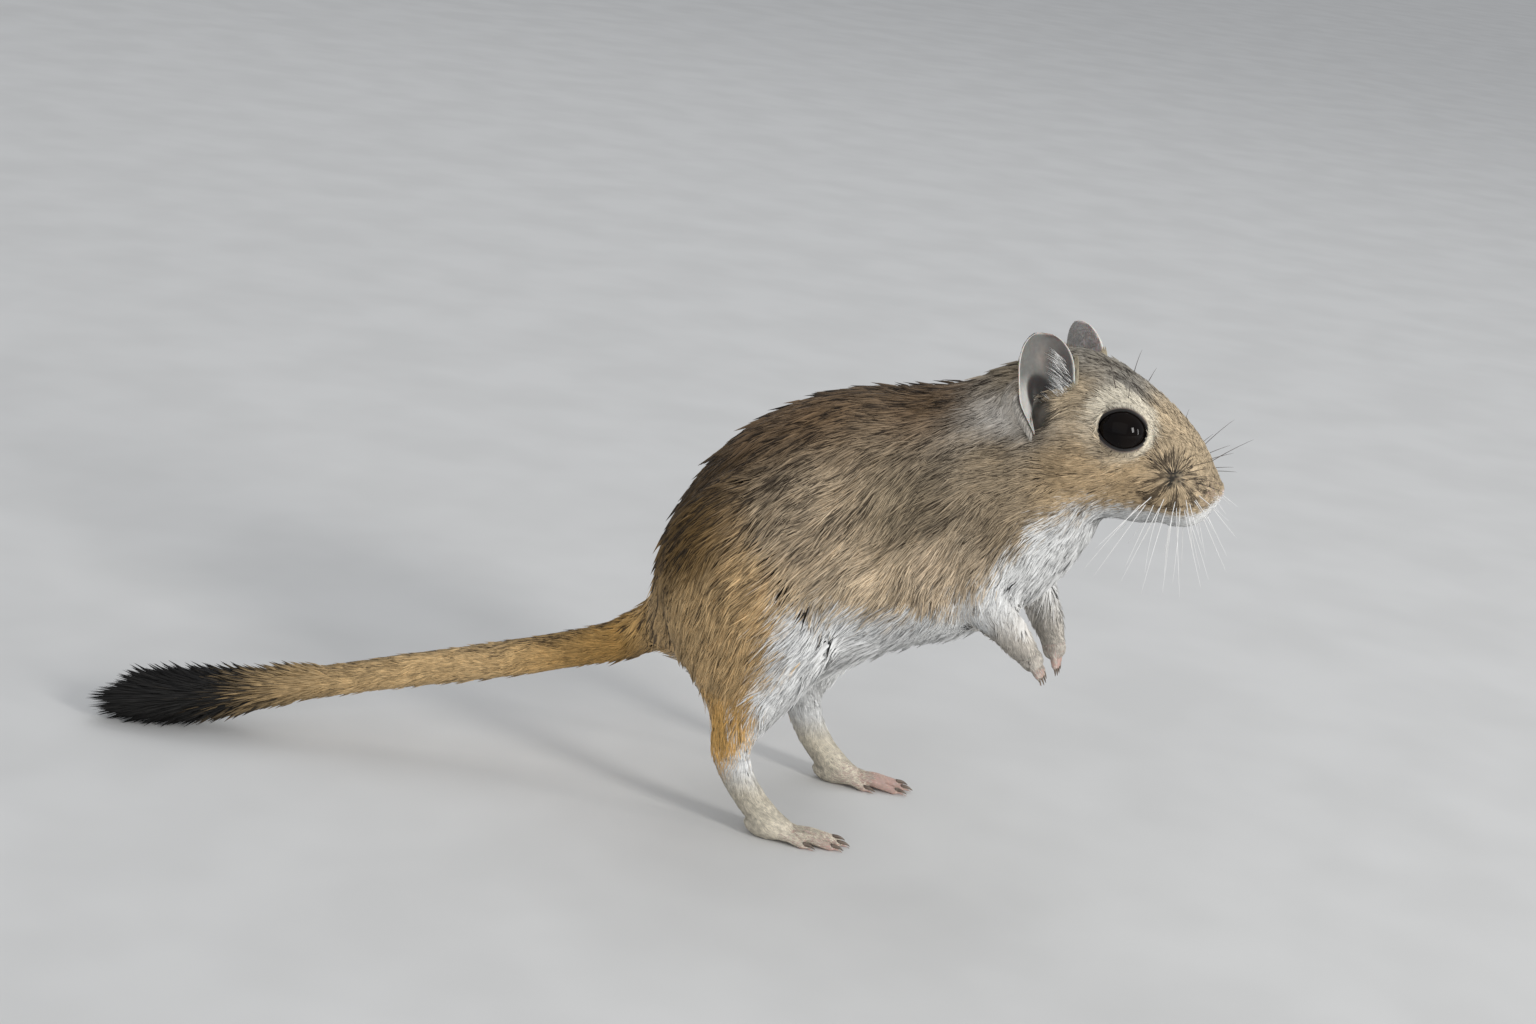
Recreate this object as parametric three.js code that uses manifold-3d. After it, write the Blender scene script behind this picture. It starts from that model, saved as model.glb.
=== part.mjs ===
// A Mongolian gerbil at life size, standing on its hind feet and tail, paws hanging.
// Millimetres. +X is the way it faces, +Y its left side, +Z up, the floor at z = 0.
import * as THREE from 'three';
import { mergeVertices } from 'three/addons/utils/BufferGeometryUtils.js';
import Module from 'manifold-3d';

const wasm = await Module();
wasm.setup();

// Driving dimensions
const GAP = 0.3;
const LEFT = 1;
const RIGHT = -1;
const GOLDEN_TURN = Math.PI * (3 - Math.sqrt(5));

const TRUNK_COLUMNS = 28;
const TRUNK_ROWS = 25;
const HEAD_COLUMNS = 24;
const HEAD_ROWS = 20;
const LEG_COLUMNS = 14;
const LEG_ROWS = 20;
const ARM_COLUMNS = 10;
const ARM_ROWS = 11;
const TAIL_COLUMNS = 12;
const TAIL_ROWS = 22;
const TUFT_ROWS = 10;

// Each pair of lids is one rim that lies on the eyeball and looks the way of the eye
const EYE_RADIUS = 4.8;
const EYE_CENTRE = { x: 63.2, y: 7.3, z: 86.4 };
const EYE_AIM = { x: 0.28, y: 0.9, z: 0.24 };
const LID_RADIUS = 4.5;
const LID_THICKNESS = 0.85;
const LID_FLATNESS = 0.9;
const LID_DEPTH = 1.3;
const LID_RISE = 0.8;

// Ears: a cupped leaf on a narrow stalk, the left one set a little further forward
const EAR_HEIGHT = 16.4;
const EAR_HALF_WIDTH = 5.9;
const EAR_STALK = 0.42;
const EAR_SHOULDER = 0.5;
const EAR_THICKNESS = 1;
const EAR_CUP = 3.6;
const EAR_ROOT = { x: 50.3, y: 11.4, z: 84.6 };
const LEFT_EAR_FORWARD = 1.4;
const EAR_LEAN = { x: -0.16, y: 0.05, z: 1 };
const EAR_ACROSS = { x: 0.78, y: -0.62, z: 0.05 };
const EAR_ROWS = 8;
const EAR_COLUMNS = 8;

// The head leans a little to its left and turns to its right, about a point in the neck
const HEAD_PIVOT = { x: 50, y: 0, z: 82 };
const HEAD_LEAN = -4;
const HEAD_TURN = -2;

const SKIN_COLOUR = 0xb59a6e;
const BELLY_COLOUR = 0xe6e1d6;
const FOOT_COLOUR = 0xdcd2c6;
const EAR_COLOUR = 0xa39a92;
const EYE_COLOUR = 0x0a0808;
const NOSE_COLOUR = 0xc9a99a;
const TAIL_COLOUR = 0xb3935f;
const TUFT_COLOUR = 0x241f1d;

// Trunk stations from rump to neck: back x, back z, belly x, belly z, half width
const TRUNK_STATIONS = [
  [-19.8, 40, -14, 26, 9],
  [-19.4, 46, -5, 25, 15],
  [-17.6, 54, 3, 24.5, 18.5],
  [-13.6, 63, 11, 26.5, 20.5],
  [-6.4, 72.3, 18.5, 30.5, 21.5],
  [3, 79.2, 25.5, 35, 21.5],
  [14, 84, 33, 39, 20.5],
  [24, 86, 41, 42.5, 18.6],
  [32.5, 88.6, 49.8, 49.5, 16.6],
  [40, 93.2, 57.2, 58.2, 14.4],
  [46, 96.5, 60.6, 66, 12.8],
];
const TRUNK_SAG = 0.14;

// Head stations from nape to nose: top x, top z, bottom x, bottom z, half width
const HEAD_STATIONS = [
  [43, 94, 46, 67, 10.5],
  [48.5, 97.8, 51, 66.2, 12.6],
  [53.5, 98.5, 55.5, 66.4, 13.3],
  [58.5, 97.5, 59.5, 68.4, 12.7],
  [63.2, 95.5, 63.2, 69.6, 11.2],
  [67.6, 93.3, 66.8, 70.1, 9.5],
  [71.6, 90.8, 70.3, 70.7, 8.1],
  [75, 88, 73.6, 70.6, 7],
  [77.8, 84.7, 76.6, 71.3, 5.8],
  [79.9, 81.6, 79, 72.7, 4.2],
  [81, 79.4, 80.6, 75.4, 2.4],
];
const NOSE_CENTRE = { x: 79.9, z: 78.3 };
const NOSE_RADII = [2.1, 2.3, 2.2];
const NOSTRIL = { x: 81.6, y: 1.15, z: 78.1 };
const NOSTRIL_RADII = [1.1, 0.45, 0.6];
const NOSTRIL_TURN = 0.5;

// The groove that runs down from the nose to the lip
const GROOVE = { x: 80.7, z: 73.8 };
const GROOVE_SIZE = [2, 0.5, 5];
const GROOVE_TILT = 0.42;

// Swellings of the head: x, y, z, reach, height, on both sides alike
const HEAD_SWELLINGS = [
  [57, 12.5, 77, 6, 0.8],
  [62, 8.5, 93, 3.6, 0.7],
  [75.3, 6, 77, 4.4, 1.2],
  [77.5, 3.5, 71.8, 2.6, 0.6],
  [68.5, 9, 86, 3, -0.5],
];
const TRUNK_SWELLINGS = [
  [44, 15, 66, 8, 1.2],
  [22, 20, 47, 8, -0.8],
];

// Hind leg slices from the haunch down: z, rear x, front x, middle y, half width
const LEG_SLICES = [
  [64, -8, 10, 12, 4.6],
  [58, -13.5, 17, 13, 7.2],
  [50, -15.5, 20.5, 14, 8.6],
  [42, -14.3, 20.8, 14.6, 8.6],
  [36, -11.8, 19.6, 15, 7.7],
  [30, -8, 16.4, 15.2, 6.4],
  [25, -3.6, 12.8, 15.2, 5],
  [20, -1.1, 8.9, 15, 3.7],
  [16, -1.1, 6.9, 15, 3.1],
  [11.5, 0.7, 8, 14.8, 2.6],
  [7, 3.6, 11.4, 14.5, 2.6],
  [3.4, 7, 16, 14.3, 2.8],
];
const LEFT_LEG_FORWARD = 3.2;
const LEFT_LEG_OUTWARD = 4.5;
const BALL_OF_FOOT = { x: 12, y: 14.3, z: 2.2 };
const BALL_RADII = [5, 3, 2.7];
const TOE_HEADING = 13;
const TOE_ROOT_LEVEL = 1.5;
const KNEE_LEVEL = 29;
const HOCK_LEVEL = 15.5;

// Toes from inner to outer: start forward, start outward, length, splay in degrees
const TOES = [
  [1, -2, 5, -14],
  [2.6, -1.2, 9.4, -6],
  [3, 0, 10, 0],
  [2.6, 1.2, 9.4, 6],
  [1, 2, 6, 13],
];
const TOE_RADIUS = 1.05;
const TOE_TIP_LEVEL = 0.6;
const TOE_ARCH = 0.45;
const TOE_CLAW = 2.6;
const TOE_CLAW_DROP = 0.35;

// Arm stations from shoulder to wrist: x, y, z, half width, half depth
const RIGHT_ARM = [
  [41, 12.4, 70, 4.2, 6.4],
  [41, 13, 62, 4.8, 7.4],
  [42.6, 11.8, 55.5, 4.5, 6.6],
  [46, 9, 50.6, 3.6, 4.8],
  [49.2, 7.2, 47, 2.8, 3.6],
  [52.2, 6.3, 43.9, 2.2, 2.6],
  [54.3, 6, 41.8, 2.3, 2.1],
];
const LEFT_ARM = [
  [41, 12.4, 70, 4.2, 6.4],
  [42, 13, 62, 4.8, 7.4],
  [46, 11.2, 56, 4.5, 6],
  [50, 8, 51.8, 3.5, 4.2],
  [52.9, 6.4, 47.6, 2.7, 3.2],
  [55, 5.6, 43.6, 2.2, 2.5],
  [56, 5.2, 41, 2.4, 2.2],
];
const RIGHT_PAW_AIM = { x: 0.66, y: 0, z: -0.75 };
const LEFT_PAW_AIM = { x: 0.34, y: 0, z: -0.94 };
const FINGERS = 4;
const FINGER_SPACING = 1.15;
const FINGER_SPLAY = 0.35;
const FINGER_LENGTH = 3;
const FINGER_SHORTENING = 0.35;
const FINGER_RADIUS = 0.78;
const FINGER_CLAW = 1.5;
const FINGER_CLAW_DROP = 0.6;

// Tail stations from root to tuft: x, y, z, radius
const TAIL_STATIONS = [
  [-12, 0, 36, 7],
  [-19, 0, 30.4, 5.2],
  [-25, -1, 26.6, 4.1],
  [-32, -3, 23.8, 3.7],
  [-47, -8, 19.2, 3.6],
  [-64, -15, 15, 3.3],
  [-81, -22, 10.6, 3.1],
  [-96, -28, 6.8, 3],
];
const TAIL_ROOT_CUT = -24;
const TAIL_CUTS = [-46, -70, -92];
const TAIL_CUT_FACING = { x: 0.93, y: 0.36 };

// The core of the tuft: x, y, z, radius
const TUFT_CORE = [
  [-89, -25.3, 8.5, 3],
  [-96, -28.1, 6.7, 3.5],
  [-103, -30.9, 5, 3.6],
  [-108.5, -33.1, 4.3, 2.6],
];

// Locks that grow from the core: low and high limits, lengths and widths in millimetres
const LOCK_COUNT = 30;
const LOCK_LENGTHS = [8.2, 11];
const LOCK_WIDTHS = [2.9, 3.9];
const LOCK_THICKNESS = 0.95;
const LOCK_RISES = [0.34, 0.54];
const LOCK_DEPTH = 0.62;
const LOCK_SEED = 11;

// Planes that part the trunk: two points of each, in the plane of symmetry
const HEAD_PLANE = [[41, 96], [56.4, 66]];
const NECK_PLANE = [[35, 91], [53, 56]];
const CHEST_PLANE = [[20, 86], [38, 40]];
const RUMP_PLANE = [[0, 78], [14, 26]];
const NOSE_PLANE = [[79.2, 81.5], [80.6, 76.2]];

// Outline of the lower jaw seen from the side
const JAW_OUTLINE = [
  [62.6, 68.8],
  [62.4, 70.6],
  [64.5, 72.2],
  [69, 72.6],
  [72, 71.9],
  [72.9, 70.4],
  [73, 68.8],
];
const JAW_REACH = 14;
const JAW_CENTRE = [67.8, 70.6];
const CHIN = { x: 67, z: 72.5 };
const CHIN_RADII = [5.6, 4.2, 2.7];

// Shapes
const vector = (x, y, z) => new THREE.Vector3(x, y, z);

function sided(place, side) {
  return vector(place.x, place.y * side, place.z);
}

function ring(centre, up, across, columns, sag) {
  const points = [];
  for (let i = 0; i < columns; i += 1) {
    const angle = (i / columns) * 2 * Math.PI;
    const reach = Math.sin(angle) * (1 - sag * Math.cos(angle));
    points.push(centre.clone().addScaledVector(up, Math.cos(angle)).addScaledVector(across, reach));
  }
  return points;
}

// The faces between rings of points
function sleeve(rings) {
  const columns = rings[0].length;
  const faces = [];
  for (let r = 0; r < (rings.length - 1) * columns; r += columns) {
    for (let c = 0; c < columns; c += 1) {
      const next = (c + 1) % columns;
      faces.push([r + c, r + next, r + columns + next]);
      faces.push([r + c, r + columns + next, r + columns + c]);
    }
  }
  return faces;
}

// A closed body through rings of points, with a tip at each end
function closedLoft(rings, startTip, endTip) {
  const columns = rings[0].length;
  const start = rings.length * columns;
  const end = start + 1;
  const last = start - columns;
  const faces = sleeve(rings);
  for (let c = 0; c < columns; c += 1) {
    const next = (c + 1) % columns;
    faces.push([start, next, c]);
    faces.push([end, last + c, last + next]);
  }
  return outward([...rings.flat(), startTip, endTip], faces);
}

// A closed leaf through flat rings of points: each end is closed from its front to its back
function leafLoft(rings) {
  const columns = rings[0].length;
  const last = (rings.length - 1) * columns;
  const faces = sleeve(rings);
  for (let c = 0; c < columns / 2 - 1; c += 1) {
    const facing = columns - 1 - c;
    faces.push([c + 1, c, facing]);
    faces.push([c + 1, facing, facing - 1]);
    faces.push([last + c, last + c + 1, last + facing]);
    faces.push([last + c + 1, last + facing - 1, last + facing]);
  }
  return outward(rings.flat(), faces);
}

// A geometry of points and faces, turned so that its faces point out
function outward(points, faces) {
  let volume = 0;
  for (const [a, b, c] of faces) {
    volume += points[a].dot(vector(0, 0, 0).crossVectors(points[b], points[c]));
  }
  const turned = volume < 0 ? faces.map(([a, b, c]) => [a, c, b]) : faces;
  const geometry = new THREE.BufferGeometry();
  geometry.setFromPoints(points);
  geometry.setIndex(turned.flat());
  geometry.computeVertexNormals();
  return geometry;
}

function smoothLine(points) {
  return new THREE.CatmullRomCurve3(points, false, 'catmullrom');
}

// Stations joined by smooth curves and closed by round ends
function smoothLoft(stations, rows, columns, { sag = 0, startBulge = 0.5, endBulge = 0.5, steps = 2 } = {}) {
  const curves = ['centre', 'up', 'across'].map((key) => smoothLine(stations.map((station) => station[key])));
  const rings = [];
  for (let r = 0; r <= rows; r += 1) {
    const [centre, up, across] = curves.map((curve) => curve.getPoint(r / rows));
    rings.push(ring(centre, up, across, columns, sag));
  }
  const first = roundEnd(stations[0], stations[1], columns, sag, startBulge, steps);
  const final = roundEnd(stations.at(-1), stations.at(-2), columns, sag, endBulge, steps);
  return closedLoft([...first.rings.reverse(), ...rings, ...final.rings], first.tip, final.tip);
}

function roundEnd(station, neighbour, columns, sag, bulge, steps) {
  const way = station.centre.clone().sub(neighbour.centre).normalize();
  const height = bulge * Math.min(station.up.length(), station.across.length());
  const rings = [];
  for (let step = 1; step <= steps; step += 1) {
    const angle = (step / (steps + 1)) * (Math.PI / 2);
    const centre = station.centre.clone().addScaledVector(way, height * Math.sin(angle));
    const up = station.up.clone().multiplyScalar(Math.cos(angle));
    const across = station.across.clone().multiplyScalar(Math.cos(angle));
    rings.push(ring(centre, up, across, columns, sag));
  }
  return { rings, tip: station.centre.clone().addScaledVector(way, height) };
}

// Stations given in the plane of symmetry by an upper and a lower point
function profileStations(list) {
  return list.map(([topX, topZ, bottomX, bottomZ, halfWidth]) => ({
    centre: vector((topX + bottomX) / 2, 0, (topZ + bottomZ) / 2),
    up: vector((topX - bottomX) / 2, 0, (topZ - bottomZ) / 2),
    across: vector(0, halfWidth, 0),
  }));
}

// Stations along a limb, each ring square to the limb's run
function limbStations(list, side, grow) {
  const centres = list.map(([x, y, z]) => vector(x, y * side, z));
  return list.map(([, , , halfWidth, halfDepth = halfWidth], i) => {
    const before = centres[Math.max(i - 1, 0)];
    const after = centres[Math.min(i + 1, centres.length - 1)];
    const run = after.clone().sub(before).normalize();
    const across = vector(0, 1, 0).addScaledVector(run, -run.y).normalize();
    const up = vector(0, 0, 0).crossVectors(run, across);
    return {
      centre: centres[i],
      up: up.multiplyScalar(halfDepth + grow),
      across: across.multiplyScalar(halfWidth + grow),
    };
  });
}

// Pushes the surface out, or in, round each spot on both sides
function swell(geometry, swellings) {
  const places = geometry.getAttribute('position');
  const normals = geometry.getAttribute('normal');
  for (let i = 0; i < places.count; i += 1) {
    const place = vector().fromBufferAttribute(places, i);
    const normal = vector().fromBufferAttribute(normals, i);
    let push = 0;
    for (const [x, y, z, reach, height] of swellings) {
      const spot = vector(x, y * Math.sign(place.y), z);
      push += height * Math.exp(-place.distanceToSquared(spot) / (reach * reach));
    }
    place.addScaledVector(normal, push);
    places.setXYZ(i, place.x, place.y, place.z);
  }
  return geometry;
}

// What belongs to the head turns with it
function posed(geometry) {
  geometry.translate(-HEAD_PIVOT.x, -HEAD_PIVOT.y, -HEAD_PIVOT.z);
  geometry.rotateX(THREE.MathUtils.degToRad(HEAD_LEAN));
  geometry.rotateZ(THREE.MathUtils.degToRad(HEAD_TURN));
  geometry.translate(HEAD_PIVOT.x, HEAD_PIVOT.y, HEAD_PIVOT.z);
  return solid(geometry);
}

function solid(geometry) {
  const bare = new THREE.BufferGeometry();
  bare.setAttribute('position', geometry.getAttribute('position'));
  if (geometry.index) bare.setIndex(geometry.index);
  const merged = mergeVertices(bare);
  return new wasm.Manifold(new wasm.Mesh({
    numProp: 3,
    vertProperties: new Float32Array(merged.getAttribute('position').array),
    triVerts: new Uint32Array(merged.index.array),
  }));
}

function joined(solids) {
  return solids.reduce((whole, piece) => whole.add(piece));
}

function largest(body) {
  return body.decompose().reduce((most, piece) => (piece.volume() > most.volume() ? piece : most));
}

function ellipsoid(centre, radii, columns = 16) {
  const geometry = new THREE.SphereGeometry(1, columns, Math.round(columns * 0.6));
  geometry.scale(...radii);
  geometry.translate(centre.x, centre.y, centre.z);
  return solid(geometry);
}

// A plane square to the plane of symmetry, through two points of the profile
function planeThrough([[topX, topZ], [bottomX, bottomZ]]) {
  const normal = vector(topZ - bottomZ, 0, bottomX - topX).normalize();
  return { normal, offset: normal.x * topX + normal.z * topZ };
}

function aheadOf(body, { normal, offset }) {
  return body.trimByPlane(normal.toArray(), offset + GAP / 2);
}

function behind(body, { normal, offset }) {
  return body.trimByPlane(normal.clone().negate().toArray(), GAP / 2 - offset);
}

function above(body, level) {
  return body.trimByPlane([0, 0, 1], level);
}

function below(body, level) {
  return body.trimByPlane([0, 0, -1], -level);
}

// Eyes
function eye(side, grow = 0) {
  const geometry = new THREE.SphereGeometry(EYE_RADIUS + grow, 16, 10);
  const centre = sided(EYE_CENTRE, side);
  geometry.translate(centre.x, centre.y, centre.z);
  return posed(geometry);
}

function lids(side) {
  const aim = sided(EYE_AIM, side).normalize();
  const geometry = new THREE.TorusGeometry(LID_RADIUS, LID_THICKNESS, 5, 20);
  geometry.scale(1, LID_FLATNESS, LID_DEPTH);
  const turn = new THREE.Matrix4().lookAt(aim, vector(0, 0, 0), vector(0, 0, 1));
  geometry.applyMatrix4(turn);
  const rise = Math.sqrt(EYE_RADIUS ** 2 - (LID_RADIUS * LID_FLATNESS) ** 2);
  const centre = sided(EYE_CENTRE, side).addScaledVector(aim, rise * LID_RISE);
  geometry.translate(centre.x, centre.y, centre.z);
  return posed(geometry);
}

// Ears
function earOutline(height) {
  const stalk = THREE.MathUtils.lerp(EAR_STALK, 1, THREE.MathUtils.smoothstep(height, 0, EAR_SHOULDER));
  const beyond = Math.max(0, (height - EAR_SHOULDER) / (1 - EAR_SHOULDER));
  const crown = (1 - beyond ** 2.6) ** (1 / 2.2);
  return EAR_HALF_WIDTH * stalk * Math.max(crown, 0.12);
}

function ear(side, grow = 0) {
  const lean = sided(EAR_LEAN, side).normalize();
  const across = sided(EAR_ACROSS, side).normalize();
  const opening = vector(0, 0, 0).crossVectors(lean, across).multiplyScalar(side).normalize();
  const forward = side === LEFT ? LEFT_EAR_FORWARD : 0;
  const root = sided(EAR_ROOT, side).addScaledVector(lean, -grow).add(vector(forward, 0, 0));
  const halfThickness = EAR_THICKNESS / 2 + grow;
  const rings = [];
  for (let r = 0; r <= EAR_ROWS; r += 1) {
    const height = Math.sin(((r / EAR_ROWS) * Math.PI) / 2);
    const halfWidth = earOutline(height) + grow;
    const cup = EAR_CUP * (1 - 0.55 * height);
    const points = [];
    for (const face of [1, -1]) {
      for (let c = 0; c < EAR_COLUMNS; c += 1) {
        const u = face * (1 - (2 * (c + 0.5)) / EAR_COLUMNS);
        const edge = Math.sqrt(1 - u * u * 0.72);
        const bend = Math.min(1, ((u * halfWidth) / earOutline(height)) ** 2);
        const depth = cup * (bend - 0.6) + face * halfThickness * edge;
        const point = root.clone().addScaledVector(lean, height * (EAR_HEIGHT + 2 * grow));
        point.addScaledVector(across, u * halfWidth).addScaledVector(opening, depth);
        points.push(point);
      }
    }
    rings.push(points);
  }
  return posed(leafLoft(rings));
}

// Head
function nosePad() {
  const geometry = new THREE.SphereGeometry(1, 12, 7);
  geometry.scale(...NOSE_RADII);
  geometry.translate(NOSE_CENTRE.x, 0, NOSE_CENTRE.z);
  return posed(geometry);
}

function headSolid() {
  const stations = profileStations(HEAD_STATIONS);
  const geometry = smoothLoft(stations, HEAD_ROWS, HEAD_COLUMNS, { sag: 0.06, endBulge: 0.4 });
  return posed(swell(geometry, HEAD_SWELLINGS));
}

function jawRegion(grow) {
  const centre = new THREE.Vector2(...JAW_CENTRE);
  const outline = JAW_OUTLINE.map(([x, z]) => {
    const point = new THREE.Vector2(x, z);
    return point.add(point.clone().sub(centre).setLength(grow));
  });
  const shape = new THREE.Shape(outline);
  const geometry = new THREE.ExtrudeGeometry(shape, { depth: 2 * JAW_REACH, bevelEnabled: false });
  geometry.translate(0, 0, -JAW_REACH);
  geometry.rotateX(Math.PI / 2);
  return posed(geometry);
}

// The chin hangs a little proud of the throat
function chin() {
  const geometry = new THREE.SphereGeometry(1, 14, 9);
  geometry.scale(...CHIN_RADII);
  geometry.translate(CHIN.x, 0, CHIN.z);
  return posed(geometry);
}

function lipGroove() {
  const geometry = new THREE.BoxGeometry(...GROOVE_SIZE);
  geometry.rotateY(GROOVE_TILT);
  geometry.translate(GROOVE.x, 0, GROOVE.z);
  return posed(geometry);
}

function nostril(side) {
  const geometry = new THREE.SphereGeometry(1, 8, 5);
  geometry.scale(...NOSTRIL_RADII);
  geometry.rotateZ(NOSTRIL_TURN * side);
  geometry.translate(NOSTRIL.x, NOSTRIL.y * side, NOSTRIL.z);
  return posed(geometry);
}

// Trunk
function trunkSolid() {
  const stations = profileStations(TRUNK_STATIONS);
  const geometry = smoothLoft(stations, TRUNK_ROWS, TRUNK_COLUMNS, { sag: TRUNK_SAG, startBulge: 0.35 });
  return solid(swell(geometry, TRUNK_SWELLINGS));
}

// Hind legs
function legShift(side) {
  return side === LEFT ? vector(LEFT_LEG_FORWARD, LEFT_LEG_OUTWARD, 0) : vector(0, 0, 0);
}

function legSolid(side, grow = 0) {
  const shift = legShift(side);
  const top = LEG_SLICES[0][0];
  const stations = LEG_SLICES.map(([z, rear, front, middle, halfWidth]) => {
    const settle = THREE.MathUtils.smoothstep(top - z, 6, top - HOCK_LEVEL);
    return {
      centre: vector((rear + front) / 2, middle * side, z).addScaledVector(shift, settle),
      up: vector((front - rear) / 2 + grow, 0, 0),
      across: vector(0, halfWidth + grow, 0),
    };
  });
  return solid(smoothLoft(stations, LEG_ROWS, LEG_COLUMNS, { startBulge: 0.8, endBulge: 0.6 }));
}

// A toe or finger with its claw, which drops toward the floor
function digit(start, end, { radius, claw, drop, arch = 0 }) {
  const run = end.clone().sub(start);
  const middle = start.clone().addScaledVector(run, 0.55).add(vector(0, 0, arch));
  const toe = limbStations([
    [...start.toArray(), radius],
    [...middle.toArray(), radius * 0.92],
    [...end.toArray(), radius * 0.8],
  ], 1, 0);
  const way = run.normalize();
  const nailStart = end.clone().addScaledVector(way, -radius * 0.5);
  const nailEnd = end.clone().addScaledVector(way, claw).add(vector(0, 0, -drop));
  const nailMiddle = nailStart.clone().lerp(nailEnd, 0.5).add(vector(0, 0, drop * 0.4));
  const nail = limbStations([
    [...nailStart.toArray(), radius * 0.5],
    [...nailMiddle.toArray(), radius * 0.36],
    [...nailEnd.toArray(), radius * 0.1],
  ], 1, 0);
  return joined([
    solid(smoothLoft(toe, 2, 6, { endBulge: 0.9, steps: 1 })),
    solid(smoothLoft(nail, 2, 5, { steps: 0 })),
  ]);
}

function footSolid(side) {
  const centre = sided(BALL_OF_FOOT, side).add(legShift(side));
  const pieces = [legSolid(side), ellipsoid(centre, BALL_RADII, 12)];
  const upward = vector(0, 0, 1);
  const size = { radius: TOE_RADIUS, claw: TOE_CLAW, drop: TOE_CLAW_DROP, arch: TOE_ARCH };
  for (const [forward, sideways, length, splay] of TOES) {
    const turn = THREE.MathUtils.degToRad(TOE_HEADING);
    const offset = vector(forward, sideways * side, 0).applyAxisAngle(upward, turn);
    const start = centre.clone().add(offset).setZ(TOE_ROOT_LEVEL);
    const heading = THREE.MathUtils.degToRad(TOE_HEADING + splay * side);
    const way = vector(1, 0, 0).applyAxisAngle(upward, heading);
    const end = start.clone().addScaledVector(way, length).setZ(TOE_TIP_LEVEL);
    pieces.push(digit(start, end, size));
  }
  return joined(pieces);
}

// Arms
function armStations(side) {
  return side === LEFT ? LEFT_ARM : RIGHT_ARM;
}

function armSolid(side, grow = 0) {
  const stations = limbStations(armStations(side), side, grow);
  return solid(smoothLoft(stations, ARM_ROWS, ARM_COLUMNS, { startBulge: 0.9, endBulge: 0.8 }));
}

// The wrist is cut square to the forearm
function wristPlane(side) {
  const [elbow, wrist] = armStations(side).slice(-2).map(([x, y, z]) => vector(x, y * side, z));
  const normal = wrist.clone().sub(elbow).normalize();
  return { normal, offset: normal.dot(elbow.lerp(wrist, 0.4)) };
}

function pawSolid(side) {
  const [x, y, z] = armStations(side).at(-1);
  const wrist = vector(x, y * side, z);
  const aim = sided(side === LEFT ? LEFT_PAW_AIM : RIGHT_PAW_AIM, side).normalize();
  const size = { radius: FINGER_RADIUS, claw: FINGER_CLAW, drop: FINGER_CLAW_DROP };
  const pieces = [armSolid(side)];
  for (let finger = 0; finger < FINGERS; finger += 1) {
    const place = finger - (FINGERS - 1) / 2;
    const knuckle = wrist.clone().add(vector(0, place * FINGER_SPACING, 0));
    const length = FINGER_LENGTH - FINGER_SHORTENING * Math.abs(place);
    const tip = knuckle.clone().addScaledVector(aim, length).add(vector(0, place * FINGER_SPLAY, 0));
    pieces.push(digit(knuckle, tip, size));
  }
  return joined(pieces);
}

// Tail
function tailSolid() {
  const stations = limbStations(TAIL_STATIONS, 1, 0);
  return solid(smoothLoft(stations, TAIL_ROWS, TAIL_COLUMNS, { endBulge: 0.3 }));
}

// Repeatable random numbers between 0 and 1
function drawer(seed) {
  let state = seed;
  return () => {
    state = (state * 16807) % 2147483647;
    return state / 2147483647;
  };
}

// A flat lock of hair: thick and sunk at its root, bent back along the tail to a fine tip
function lock(root, way, out, length, width, rise) {
  const across = vector(0, 0, 0).crossVectors(way, out).normalize();
  const stations = [[0, 0.8, 1], [0.42, 1, 0.85], [0.8, 0.55, 0.6]].map(([run, wide, thick]) => ({
    centre: root.clone().addScaledVector(way, run * length)
      .addScaledVector(out, rise * length * (run - 0.55 * run * run)),
    up: out.clone().multiplyScalar((LOCK_THICKNESS / 2) * thick),
    across: across.clone().multiplyScalar((width / 2) * wide),
  }));
  const rings = stations.map((station) => ring(station.centre, station.up, station.across, 4, 0));
  const startTip = root.clone().addScaledVector(way, -0.12 * length);
  const endTip = root.clone().addScaledVector(way, length).addScaledVector(out, rise * length * 0.42);
  return solid(closedLoft(rings, startTip, endTip));
}

function tuftSolid() {
  const stations = limbStations(TUFT_CORE, 1, 0);
  const core = smoothLoft(stations, TUFT_ROWS, TAIL_COLUMNS, { startBulge: 0.1, endBulge: 0.8 });
  const pieces = [solid(core)];
  const line = smoothLine(stations.map((station) => station.centre));
  const thick = smoothLine(stations.map((station) => station.across));
  const draw = drawer(LOCK_SEED);
  const between = ([low, high]) => THREE.MathUtils.lerp(low, high, draw());
  for (let i = 0; i < LOCK_COUNT; i += 1) {
    const along = THREE.MathUtils.lerp(0.1, 1, i / (LOCK_COUNT - 1));
    const way = line.getTangent(along);
    const out = vector(0, 0, 1).addScaledVector(way, -way.z).normalize();
    out.applyAxisAngle(way, i * GOLDEN_TURN + 0.3 * draw());
    const root = line.getPoint(along).addScaledVector(out, thick.getPoint(along).length() * LOCK_DEPTH);
    const length = between(LOCK_LENGTHS) * THREE.MathUtils.lerp(0.75, 1, along);
    pieces.push(lock(root, way, out, length, between(LOCK_WIDTHS), between(LOCK_RISES)));
  }
  return joined(pieces);
}

// An upright cut across the tail where it passes x
function tailCut(x) {
  const normal = vector(TAIL_CUT_FACING.x, TAIL_CUT_FACING.y, 0).normalize();
  const after = TAIL_STATIONS.findIndex(([stationX]) => stationX < x);
  const [x1, y1] = TAIL_STATIONS[after - 1];
  const [x2, y2] = TAIL_STATIONS[after];
  const y = THREE.MathUtils.mapLinear(x, x1, x2, y1, y2);
  return { normal, offset: normal.x * x + normal.y * y };
}

// Assembly
const group = new THREE.Group();

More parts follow.
